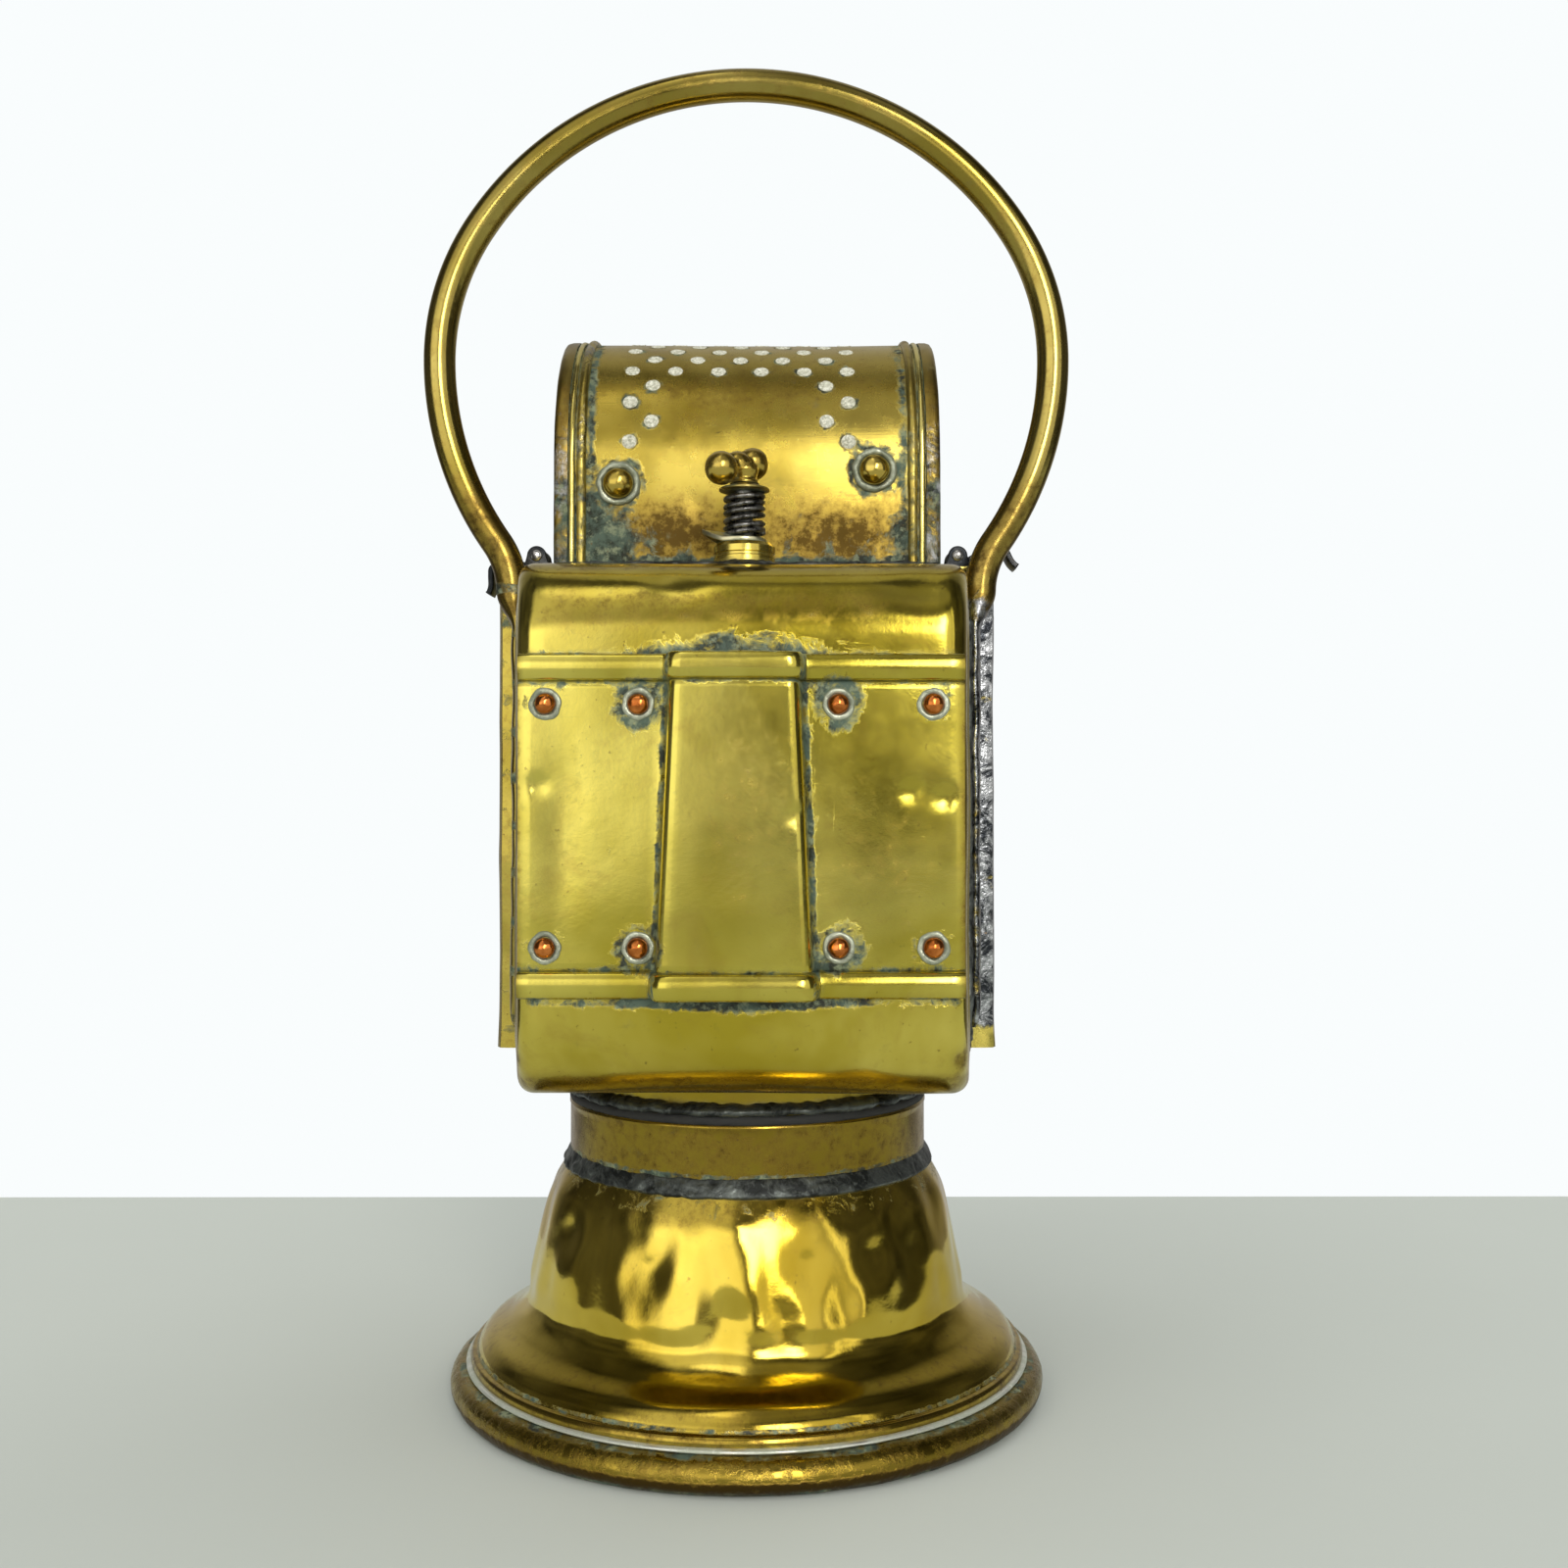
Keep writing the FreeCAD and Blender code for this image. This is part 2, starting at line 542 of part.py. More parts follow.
def burner_tip():
    """Twin-jet tip: two arms that point at each other, so that their flames meet in a flat sheet."""
    stem = post(2.6, 0, BURNER_Y, (106.0, 109.5))
    root = V(0, BURNER_Y, 109.0)
    lean = math.radians(38)
    arms = []
    for side in (-1, 1):
        out = V(side * math.sin(lean), 0, math.cos(lean))
        end = root + out * 8.0
        arms += [rod(1.5, root, out, 8.0), Part.makeSphere(1.9, end)]
    return stem.fuse(arms).cut(post(0.6, 0, BURNER_Y, (105, 109)))


def reflector():
    """Parabolic bowl with its focus at the flame and a slot for the gas pipe."""
    focal = REFLECTOR_R ** 2 / (4 * REFLECTOR_DEPTH)
    rings = [REFLECTOR_R * i / 8 for i in range(9)]
    front = [(r, REFLECTOR_VERTEX_Y + r * r / (4 * focal)) for r in rings]
    back = [(r, y - 0.7) for r, y in reversed(front)]
    rolled = [(REFLECTOR_R, front[-1][1]), (REFLECTOR_R + 1.5, front[-1][1]),
              (REFLECTOR_R + 1.5, front[-1][1] - 0.7)]
    slot = box((-3.5, 3.5), (BURNER_Y - 8, BURNER_Y + 8), (MID_Z - 60, MID_Z - 29))
    return turned_on_y(front[:-1] + rolled + back, MID_Z).cut(slot)


def reflector_stud():
    length = REFLECTOR_VERTEX_Y - 0.7 - CASE_BACK - WALL
    stud = rod(3.0, V(0, CASE_BACK + WALL, MID_Z), Y, length)
    return stud.fuse(rod(6.0, V(0, CASE_BACK + WALL, MID_Z), Y, 1.2)).cut(reflector())


# ---- roof and chimney ----------------------------------------------------------------------------
def arch_face(radius, x, foot):
    """Inverted U in the plane at x: straight walls from the foot up to the spring line, then a half circle."""
    left, right = HOOD_Y - radius, HOOD_Y + radius
    return face_of([
        Part.makeLine(V(x, left, foot), V(x, left, HOOD_SPRING_Z)),
        Part.Arc(V(x, left, HOOD_SPRING_Z), V(x, HOOD_Y, HOOD_SPRING_Z + radius),
                 V(x, right, HOOD_SPRING_Z)).toShape(),
        Part.makeLine(V(x, right, HOOD_SPRING_Z), V(x, right, foot)),
        Part.makeLine(V(x, right, foot), V(x, left, foot))])


def arch(radius, x, foot=ROOF_Z + ROOF_T):
    return arch_face(radius, x[0], foot).extrude(X * (x[1] - x[0]))


def arch_bead(x, radius):
    """Round bead that follows the arch over the chimney."""
    foot, rise = ROOF_Z + ROOF_T, HOOD_SPRING_Z
    left, right = HOOD_Y - HOOD_R, HOOD_Y + HOOD_R
    path = [
        Part.makeLine(V(x, left, foot), V(x, left, rise)),
        Part.Arc(V(x, left, rise), V(x, HOOD_Y, rise + HOOD_R), V(x, right, rise)).toShape(),
        Part.makeLine(V(x, right, rise), V(x, right, foot)),
    ]
    return pipe(path, radius, V(x, left, foot), Z)


def hole_columns(row):
    """X places of the holes in a row, counted from the crown: a full band on top, then two zigzag legs."""
    if row % 2:
        full = [i * HOLE_PITCH for i in (-2, -1, 0, 1, 2)]
    else:
        full = [(i + 0.5) * HOLE_PITCH for i in range(-3, 3)]
    chosen = full if row <= 6 else [full[0], full[-1]]
    return [x + HOLE_SHIFT_X for x in chosen]


def chimney_holes():
    drills = []
    centre_z = HOOD_SPRING_Z
    for row in range(11):
        turn = row * HOLE_ROW_ARC / HOOD_R
        for side in ((-1, 1) if row else (1,)):
            out = V(0, side * math.sin(turn), math.cos(turn))
            for x in hole_columns(row):
                start = V(x, HOOD_Y, centre_z) + out * (HOOD_R - 3)
                drills.append(rod(HOLE_R, start, out, 6))
    return drills


def chimney_hood():
    ends = HOOD_HALF_LEN - SHEET
    shell = arch(HOOD_R, (-ends, ends)).cut(arch(HOOD_R - SHEET, (-ends - 1, ends + 1), ROOF_Z))
    bore = arch(HOOD_R - SHEET, (-ends - 1, ends + 1), ROOF_Z)
    beads = [arch_bead(side * x, r).cut(bore) for side in (-1, 1) for x, r in HOOD_BEADS]
    rivet_holes = [rod(1.2, V(x, HOOD_Y - 40, z), Y, 80) for x, z in HOOD_RIVETS]
    return shell.fuse(beads).cut(Part.makeCompound(chimney_holes())).cut(rivet_holes)


def chimney_cap(side):
    """End plate with a lip that wraps the hood."""
    inner, outer = HOOD_HALF_LEN - 2.8, HOOD_HALF_LEN
    plate_x = HOOD_HALF_LEN - SHEET
    if side < 0:
        block = arch(HOOD_R + 0.5, (-outer, -inner))
        hollow = arch(HOOD_R, (-plate_x, -inner))
    else:
        block = arch(HOOD_R + 0.5, (inner, outer))
        hollow = arch(HOOD_R, (inner, plate_x))
    return block.cut(hollow)


def roof_plate():
    top = (ROOF_Z, ROOF_Z + ROOF_T)
    plate = box((-CASE_HALF_W, CASE_HALF_W), (CASE_BACK, CASE_FRONT), top)
    lip_x = CASE_HALF_W - WALL - 0.4
    lip_y = (CASE_BACK + WALL + 0.4, CASE_FRONT - WALL - 0.4)
    skirt_z = (ROOF_Z - 4, ROOF_Z)
    skirt = box((-lip_x, lip_x), lip_y, skirt_z).cut(
        box((-lip_x + 0.8, lip_x - 0.8), (lip_y[0] + 0.8, lip_y[1] - 0.8), skirt_z))
    vent = box((-33, 33), (HOOD_Y - 27, HOOD_Y + 27), (ROOF_Z - 5, ROOF_Z + 5))
    return plate.fuse(skirt).cut(vent)


def chimney_baffle():
    """Plate across the chimney that spreads the heat, on folded tabs riveted to both walls."""
    inside = HOOD_R - SHEET
    z = 170.0
    reach = (HOOD_Y - inside, HOOD_Y + inside)
    plate = box((-29, 29), (reach[0] + SHEET, reach[1] - SHEET), (z, z + SHEET))
    made = plate
    for y in ((reach[0], reach[0] + SHEET), (reach[1] - SHEET, reach[1])):
        for x, rivet_z in HOOD_RIVETS:
            made = made.fuse(box((x - 4, x + 4), y, (z, HOOD_SPRING_Z)))
    holes = [rod(1.2, V(x, HOOD_Y - 40, rivet_z), Y, 80) for x, rivet_z in HOOD_RIVETS]
    return made.common(arch(inside, (-30, 30))).cut(holes)


def hood_rivet_spots():
    """(point on the hood, outward direction) of the four baffle rivets."""
    return [(V(x, HOOD_Y + s * HOOD_R, z), Y * s) for s in (-1, 1) for x, z in HOOD_RIVETS]


def baffle_rivets():
    made = []
    for point, out in hood_rivet_spots():
        shank = rod(1.2, point - out * 2 * SHEET, out, 2 * SHEET + 0.5)
        tail = rod(2.0, point - out * (2 * SHEET + 0.8), out, 0.8)
        made.append(dome(HOOD_RIVET_R, 2.4, point + out * 0.5, out).fuse([shank, tail]))
    return Part.makeCompound(made)


def baffle_rivet_seats():
    return Part.makeCompound([rod(HOOD_RIVET_SEAT_R, point, out, 0.5).cut(rod(1.2, point - out, out, 3))
                              for point, out in hood_rivet_spots()])


def clip_lugs():
    """Pairs of ears on the roof that hold the clip pins."""
    made = []
    for side in (-1, 1):
        for y in (CLIP_Y[0], CLIP_Y[1] - LUG_T):
            ear = rod(CLIP_EYE_R, V(side * CLIP_X, y, CLIP_Z), Y, LUG_T)
            foot = box(sorted((side * (CLIP_X - CLIP_EYE_R), side * (CLIP_X + CLIP_EYE_R))),
                       (y, y + LUG_T), (ROOF_Z + ROOF_T, CLIP_Z))
            made.append(ear.fuse(foot).cut(rod(CLIP_PIN_R, V(side * CLIP_X, y - 1, CLIP_Z), Y, LUG_T + 2)))
    return Part.makeCompound(made)


def clip_pins():
    return both_sides(lambda side: rod(CLIP_PIN_R, V(side * CLIP_X, CLIP_Y[0] - 0.4, CLIP_Z), Y,
                                       CLIP_Y[1] - CLIP_Y[0] + 0.8))


def roof_clip(side, lift):
    """Spring strap that pivots on the roof and hooks over the side wall; lift turns it up, unhooked."""
    y = (CLIP_Y[0] + LUG_T + 0.2, CLIP_Y[1] - LUG_T - 0.2)
    strap_z = (ROOF_Z + ROOF_T + GAP, ROOF_Z + ROOF_T + GAP + CLIP_STRAP)
    eye = rod(CLIP_EYE_R, V(CLIP_X, y[0], CLIP_Z), Y, y[1] - y[0])
    strap = box((CLIP_X, CLIP_REACH + CLIP_HOOK_T), y, strap_z)
    hook = box((CLIP_REACH, CLIP_REACH + CLIP_HOOK_T), y, (CLIP_HOOK_Z, strap_z[1]))
    clip = eye.fuse([strap, hook]).cut(rod(CLIP_PIN_R + SHAFT_GAP, V(CLIP_X, y[0] - 1, CLIP_Z), Y, 12))
    clip.rotate(V(CLIP_X, 0, CLIP_Z), Y, -lift)
    return clip if side > 0 else clip.mirror(V(0, 0, 0), X)


# ---- door ----------------------------------------------------------------------------------------
DOOR_FACE = DOOR_BACK + DOOR_DEPTH


def door_block(shrink, y):
    block = box((-DOOR_HALF_W + shrink, DOOR_HALF_W - shrink), y, (DOOR_Z[0] + shrink, DOOR_Z[1] - shrink))
    corners = [e for e in block.Edges if abs(e.tangentAt(0).y) > 0.9]
    return block.makeFillet(6 - shrink, corners)


def door_pan():
    """Pressed tray with its rim turned back towards the case and a round window."""
    outside = door_block(0, (DOOR_BACK, DOOR_FACE))
    front = [e for e in outside.Edges if e.BoundBox.YMin > DOOR_FACE - 0.01]
    outside = outside.makeFillet(1.2, front)
    inside = door_block(WALL, (DOOR_BACK - 1, DOOR_FACE - WALL))
    window = rod(LENS_HOLE_R, V(0, DOOR_BACK - 1, MID_Z), Y, 10)
    return outside.cut(inside).cut(window)


def lens_glass():
    ball_r = (LENS_R ** 2 + LENS_DOME ** 2) / (2 * LENS_DOME)
    disc = rod(LENS_R, V(0, DOOR_FACE, MID_Z), Y, LENS_EDGE + LENS_DOME + 1)
    ball = Part.makeSphere(ball_r, V(0, DOOR_FACE + LENS_EDGE + LENS_DOME - ball_r, MID_Z))
    return disc.common(ball)


def lens_bezel():
    y = DOOR_FACE
    outline = [(BEZEL_R, y), (BEZEL_R, y + 1.4), (BEZEL_R - 1.6, y + 3.2), (BEZEL_R - 3.6, y + BEZEL_DEPTH),
               (LENS_R - 0.6, y + BEZEL_DEPTH), (LENS_R - 2.0, y + BEZEL_DEPTH - 1.0),
               (LENS_R - 2.0, y + LENS_EDGE), (LENS_R + 0.2, y + LENS_EDGE), (LENS_R + 0.2, y)]
    return turned_on_y(outline, MID_Z).cut(lens_glass())


def lens_retainer():
    y = DOOR_FACE - WALL
    return turned_on_y([(LENS_HOLE_R - 1.5, y - 1.2), (LENS_R + 1.5, y - 1.2), (LENS_R + 1.5, y),
                        (LENS_HOLE_R - 1.5, y)], MID_Z)


def door_knob():
    x = DOOR_HALF_W - 4.5
    neck = rod(1.4, V(x, DOOR_FACE, MID_Z), Y, 3.0)
    return neck.fuse([Part.makeSphere(2.6, V(x, DOOR_FACE + 4.4, MID_Z)),
                      rod(2.6, V(x, DOOR_FACE, MID_Z), Y, 0.8)])


def snap_nib():
    return dome(1.4, 1.0, V(DOOR_HALF_W, DOOR_BACK + 1.6, MID_Z), X)


def snap_spring():
    """Leaf on the right side wall that the door's nib snaps behind."""
    leaf = box((CASE_HALF_W, CASE_HALF_W + 0.7), (36.0, DOOR_FACE), (MID_Z - 5, MID_Z + 5))
    rivets = [dome(1.5, 0.9, V(CASE_HALF_W + 0.7, y, MID_Z), X) for y in (39.5, 46.0)]
    return leaf.fuse(rivets)


def hinge_axis_rod(radius, z):
    return post(radius, HINGE_X, HINGE_Y, z)


def hinge_fixed():
    made = []
    for z in HINGE_Z:
        low, high = z - HINGE_HALF_H, z + HINGE_HALF_H
        leaf = box((HINGE_X + 0.9, -CASE_HALF_W), (38.0, HINGE_Y), (low, high))
        knuckles = hinge_axis_rod(HINGE_KNUCKLE_R, (low, high))
        middle = box((HINGE_X - 4, -CASE_HALF_W + 1), (HINGE_Y - 5, HINGE_Y + 4),
                     (z - KNUCKLE_HALF_H - 0.15, z + KNUCKLE_HALF_H + 0.15))
        made.append(leaf.fuse(knuckles).cut(middle).cut(hinge_axis_rod(HINGE_PIN_R, (low - 1, high + 1))))
    return Part.makeCompound(made)


def hinge_moving():
    made = []
    for z in HINGE_Z:
        span = (z - KNUCKLE_HALF_H, z + KNUCKLE_HALF_H)
        leaf = box((HINGE_X, -DOOR_HALF_W), (HINGE_Y + 0.9, HINGE_Y + HINGE_KNUCKLE_R), span)
        knuckle = hinge_axis_rod(HINGE_KNUCKLE_R, span)
        made.append(knuckle.fuse(leaf).cut(hinge_axis_rod(HINGE_PIN_R + SHAFT_GAP, (z - 9, z + 9))))
    return Part.makeCompound(made)


def hinge_pins():
    made = []
    for z in HINGE_Z:
        span = (z - HINGE_HALF_H, z + HINGE_HALF_H)
        head = hinge_axis_rod(1.5, (span[1], span[1] + 0.8))
        made.append(hinge_axis_rod(HINGE_PIN_R, span).fuse(head))
    return Part.makeCompound(made)


PARTS = {
    "foot_bell": foot_bell, "foot_rim": foot_rim, "rim_solder": rim_solder, "base_floor": base_floor,
    "neck_sleeve": neck_sleeve, "sleeve_solder": sleeve_solder, "carbide_pot": carbide_pot,
    "neck_gasket": neck_gasket,
    "upper_collar": upper_collar, "collar_solder": collar_solder, "gas_filter": gas_filter,
    "case_floor": case_floor, "case_side_left": lambda: case_side(-1),
    "case_side_right": lambda: case_side(1), "case_rear_wall": case_rear_wall, "front_frame": front_frame,
    "tank_pan": tank_pan, "tank_solder": tank_solder,
    "bracket_plate": bracket_plate, "bracket_rivets": bracket_rivets, "rivet_seats": rivet_seats,
    "carry_handle": carry_handle,
    "valve_collar": valve_collar, "valve_index": valve_index, "valve_seat": valve_seat,
    "drip_tube": drip_tube, "valve_spring": valve_spring, "spring_cap": spring_cap,
    "valve_spindle": valve_spindle, "tee_handle": tee_handle,
    "gas_pipe": gas_pipe, "burner_body": burner_body, "burner_tip": burner_tip,
    "reflector": reflector, "reflector_stud": reflector_stud,
    "roof_plate": roof_plate, "chimney_hood": chimney_hood,
    "chimney_cap_left": lambda: chimney_cap(-1), "chimney_cap_right": lambda: chimney_cap(1),
    "chimney_baffle": chimney_baffle, "baffle_rivets": baffle_rivets,
    "baffle_rivet_seats": baffle_rivet_seats, "clip_lugs": clip_lugs, "clip_pins": clip_pins,
    "roof_clip_left": lambda: roof_clip(-1, 0), "roof_clip_right": lambda: roof_clip(1, CLIP_RIGHT_LIFT),
    "door_pan": door_pan, "lens_glass": lens_glass, "lens_bezel": lens_bezel,
    "lens_retainer": lens_retainer, "door_knob": door_knob, "snap_nib": snap_nib,
    "snap_spring": snap_spring, "hinge_fixed": hinge_fixed, "hinge_moving": hinge_moving,
    "hinge_pins": hinge_pins,
}


def main():
    os.makedirs("parts", exist_ok=True)
    for name, make in PARTS.items():
        shape = make()
        solids = shape.Solids
        if not solids or not all(s.isValid() and s.isClosed() for s in solids):
            raise ValueError(f"{name} is not made of closed valid solids")
        whole = solids[0] if len(solids) == 1 else Part.makeCompound(solids)
        whole.exportStep(f"parts/{name}.step")
        box_of = whole.BoundBox
        print(f"{name}: {len(solids)} solid(s), {whole.Volume:.0f} mm3, "
              f"x {box_of.XMin:.1f} {box_of.XMax:.1f} y {box_of.YMin:.1f} {box_of.YMax:.1f} "
              f"z {box_of.ZMin:.1f} {box_of.ZMax:.1f}")


main()
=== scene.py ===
"""Looks of the brass carbide hand lamp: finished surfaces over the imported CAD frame.

Lengths inside the builders are millimetres, turned into metres when a mesh is made. +Z is up, the lens faces +Y and
the water tank faces -Y. Every piece rides on a CAD body and replaces the CAD nodes that it stands for.
"""
import bpy
import math
import numpy as np
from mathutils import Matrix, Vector, geometry, noise


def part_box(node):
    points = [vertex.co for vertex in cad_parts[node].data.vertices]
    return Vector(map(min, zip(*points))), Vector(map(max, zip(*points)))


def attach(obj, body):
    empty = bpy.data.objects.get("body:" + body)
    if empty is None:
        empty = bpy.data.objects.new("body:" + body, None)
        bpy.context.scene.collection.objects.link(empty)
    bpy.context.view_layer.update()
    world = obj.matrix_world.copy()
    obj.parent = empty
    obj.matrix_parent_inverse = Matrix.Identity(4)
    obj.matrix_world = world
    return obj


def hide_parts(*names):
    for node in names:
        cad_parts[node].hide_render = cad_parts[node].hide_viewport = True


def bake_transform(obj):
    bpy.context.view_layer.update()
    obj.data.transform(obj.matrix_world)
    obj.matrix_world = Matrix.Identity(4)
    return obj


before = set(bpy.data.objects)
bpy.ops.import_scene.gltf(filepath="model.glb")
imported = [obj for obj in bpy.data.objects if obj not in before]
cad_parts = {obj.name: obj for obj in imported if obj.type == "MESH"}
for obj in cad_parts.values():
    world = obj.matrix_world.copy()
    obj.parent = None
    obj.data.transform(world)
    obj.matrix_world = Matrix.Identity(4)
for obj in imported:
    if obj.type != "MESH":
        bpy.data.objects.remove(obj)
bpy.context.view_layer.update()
MM = 0.001
SIDES = ((-1, "left"), (1, "right"))


def span(node):
    """Lowest and highest corner of a CAD node, in millimetres."""
    low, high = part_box(node)
    return np.array(low) / MM, np.array(high) / MM


# ---- materials -----------------------------------------------------------------------------------
class Graph:
    """A procedural material, built by short calls that return node outputs."""

    def __init__(self, name):
        self.mat = bpy.data.materials.new(name)
        self.mat.use_nodes = True
        self.tree = self.mat.node_tree
        self.bsdf = self.tree.nodes["Principled BSDF"]
        self.place = self.add("ShaderNodeTexCoord").outputs["Object"]

    def marks(self):
        """What was laid on the mesh by lay_stains_and_shade(): verdigris, tarnish with painted shade, and lead, each
        from 0 to 1.
        """
        laid = self.add("ShaderNodeAttribute", attribute_name="marks").outputs["Vector"]
        return self.add("ShaderNodeSeparateXYZ", {"Vector": laid}).outputs[:]

    def frayed(self, mask, fray, low=0.38, high=0.62):
        """A soft mask broken up by noise into smears and specks."""
        spread = self.calc("MULTIPLY", self.calc("SUBTRACT", fray, 0.5), 1.5)
        return self.level(self.calc("ADD", mask, spread), low, high)

    def add(self, kind, links=None, **settings):
        node = self.tree.nodes.new(kind)
        for key, value in settings.items():
            setattr(node, key, value)
        for key, value in (links or {}).items():
            self.feed(node.inputs[key], value)
        return node

    def feed(self, socket, value):
        if isinstance(value, bpy.types.NodeSocket):
            self.tree.links.new(value, socket)
        else:
            socket.default_value = value

    def mapped(self, scale, turn=(0, 0, 0)):
        return self.add("ShaderNodeMapping", {"Vector": self.place, "Scale": scale, "Rotation": turn}).outputs[0]

    def noise(self, scale, detail=3.0, rough=0.5, vector=None, warp=0.0):
        links = {"Vector": vector or self.place, "Scale": scale, "Detail": detail, "Roughness": rough,
                 "Distortion": warp}
        return self.add("ShaderNodeTexNoise", links).outputs["Fac"]

    def level(self, value, low, high, out_low=0.0, out_high=1.0):
        links = {"Value": value, "From Min": low, "From Max": high, "To Min": out_low, "To Max": out_high}
        return self.add("ShaderNodeMapRange", links).outputs["Result"]

    def calc(self, operation, a, b=0.0, clamp=False):
        node = self.add("ShaderNodeMath", operation=operation, use_clamp=clamp)
        self.feed(node.inputs[0], a)
        self.feed(node.inputs[1], b)
        return node.outputs[0]

    def mix(self, factor, a, b):
        node = self.add("ShaderNodeMix", data_type="RGBA")
        self.feed(node.inputs["Factor"], factor)
        self.feed(node.inputs[6], a)
        self.feed(node.inputs[7], b)
        return node.outputs[2]

    def bump(self, height, distance, strength=1.0, after=None):
        links = {"Height": height, "Distance": distance, "Strength": strength}
        if after is not None:
            links["Normal"] = after
        return self.add("ShaderNodeBump", links).outputs["Normal"]

    def corner(self, reach):
        """1 on open faces, less where another face stands within reach."""
        return self.add("ShaderNodeAmbientOcclusion", {"Distance": reach}, samples=8).outputs["AO"]

    def paint(self, **sockets):
        names = {"color": "Base Color", "metal": "Metallic", "rough": "Roughness", "normal": "Normal", "ior": "IOR",
                 "through": "Transmission Weight", "shine": "Specular IOR Level"}
        for key, value in sockets.items():
            self.feed(self.bsdf.inputs[names[key]], value)
        return self.mat


def rgb(r, g, b):
    return (r, g, b, 1.0)


BROWN, DEEP_BROWN, FILM_AND_SHADE = rgb(0.34, 0.20, 0.045), rgb(0.07, 0.040, 0.010), rgb(0.20, 0.14, 0.02)
TEAL, VERDIGRIS, SOOT = rgb(0.085, 0.125, 0.09), rgb(0.25, 0.285, 0.17), rgb(0.020, 0.024, 0.014)


def brass(name, gloss, dents, grime, patina, light, dark, grain=(1, 1, 1), specks=0.7, pits=0.0):
    """Old polished brass: uneven tone, fine scratches, verdigris held in the corners, and the stains and painted shade
    laid on it.
    """
    g = Graph(name)
    verdigris, tarnish_and_shade, lead = g.marks()
    tone = g.level(g.noise(24, 4, 0.6, warp=0.5), 0.40, 0.64)
    colour = g.mix(tone, light, dark)
    # The second mark is tarnish together with painted shade: here and in the lines below it turns the brass brown and
    # darker, rubbed or not.
    colour = g.mix(g.calc("MULTIPLY", tarnish_and_shade, 0.9, clamp=True), colour, FILM_AND_SHADE)
    cloud = g.level(g.noise(70, 6, 0.7, warp=0.8), 0.54, 0.72, 0.0, 0.8)
    brown = g.calc("MULTIPLY", cloud, 0.35 + patina * 0.5)
    rubbed = g.frayed(tarnish_and_shade, g.noise(420, 5, 0.75), 0.30, 0.85)
    patina_and_shade = g.calc("MAXIMUM", brown, g.calc("MULTIPLY", rubbed, 0.92))
    colour = g.mix(patina_and_shade, colour, g.mix(rubbed, BROWN, DEEP_BROWN))
    uneven = g.level(g.noise(320, 5, 0.7), 0.35, 0.75, -0.35, 0.25)
    held = g.calc("ADD", g.level(g.corner(0.0018), 0.35, 0.90, 1.0, 0.0), uneven)
    held = g.calc("MULTIPLY", held, grime * 1.3, clamp=True)
    haze = g.level(g.noise(48, 7, 0.75, warp=0.4), 0.66 - 0.16 * patina, 0.80, 0.0, patina)
    smear = g.frayed(verdigris, g.noise(230, 7, 0.75, warp=0.6))
    dirt = g.calc("MAXIMUM", g.calc("MAXIMUM", held, haze), smear, clamp=True)
    crust = g.mix(g.level(g.noise(150, 5, 0.7, warp=0.5), 0.43, 0.56), SOOT, TEAL)
    crust = g.mix(g.level(g.noise(420, 5, 0.7), 0.50, 0.62), crust, VERDIGRIS)
    colour = g.mix(dirt, colour, crust)
    metal_lead = g.frayed(lead, g.noise(160, 6, 0.7, warp=0.8))
    smeared = g.level(g.noise(260, 6, 0.75, warp=0.7), 0.44, 0.62)
    grey = g.mix(smeared, rgb(0.030, 0.033, 0.037), rgb(0.55, 0.56, 0.57))
    colour = g.mix(metal_lead, colour, grey)
    speck = g.level(g.noise(900, 2, 0.6), 0.70, 0.75)
    colour = g.mix(g.calc("MULTIPLY", speck, specks), colour, rgb(0.16, 0.09, 0.03))
    fine = g.noise(900, 3, 0.6, vector=g.mapped(grain))
    along = g.noise(60, 4, 0.7, vector=g.mapped((1, 22, 22), (0.0, 0.3, 0.5)))
    across = g.noise(60, 4, 0.7, vector=g.mapped((24, 24, 1), (0.5, 0.2, 0.1)))
    scratch = g.calc("MAXIMUM", g.level(along, 0.67, 0.72), g.level(across, 0.68, 0.73))
    rough = g.calc("ADD", g.level(g.noise(110, 5, 0.65), 0.3, 0.75, gloss * 0.8, gloss * 1.35),
                   g.calc("MULTIPLY", g.calc("MAXIMUM", dirt, g.calc("MULTIPLY", rubbed, 0.5)), 0.42))
    rough = g.calc("ADD", rough, g.calc("MULTIPLY", scratch, 0.08), clamp=True)
    normal = g.bump(g.noise(26, 1, 0.4), 0.0008 * dents)
    normal = g.bump(g.noise(120, 2, 0.4), 0.00006 * dents, after=normal)
    normal = g.bump(fine, 0.000012, after=normal)
    pitted = g.calc("MAXIMUM", g.calc("MULTIPLY", rubbed, pits), metal_lead)
    normal = g.bump(g.calc("MULTIPLY", g.noise(620, 4, 0.6), pitted), 0.00022, after=normal)
    normal = g.bump(scratch, 0.00003, -0.6, after=normal)
    normal = g.bump(dirt, 0.00003, 0.8, after=normal)
    return g.paint(color=colour, metal=g.level(dirt, 0.1, 0.9, 1.0, 0.25), rough=rough, normal=normal)


def solder(name, light, dark, lump=0.0006):
    """Oxidised lead solder: dark, lumpy, with smeared pale ridges."""
    g = Graph(name)
    blotch = g.level(g.noise(190, 6, 0.7, warp=0.6), 0.42, 0.66)
    fleck = g.level(g.noise(700, 3, 0.6), 0.56, 0.70, 0.0, 0.6)
    colour = g.mix(g.calc("MAXIMUM", blotch, fleck), dark, light)
    normal = g.bump(g.noise(240, 4, 0.6, warp=0.5), lump)
    normal = g.bump(g.noise(1100, 3), 0.00006, after=normal)
    return g.paint(color=colour, metal=g.level(blotch, 0, 1, 0.45, 0.9), rough=g.level(blotch, 0, 1, 0.5, 0.3),
                   normal=normal)


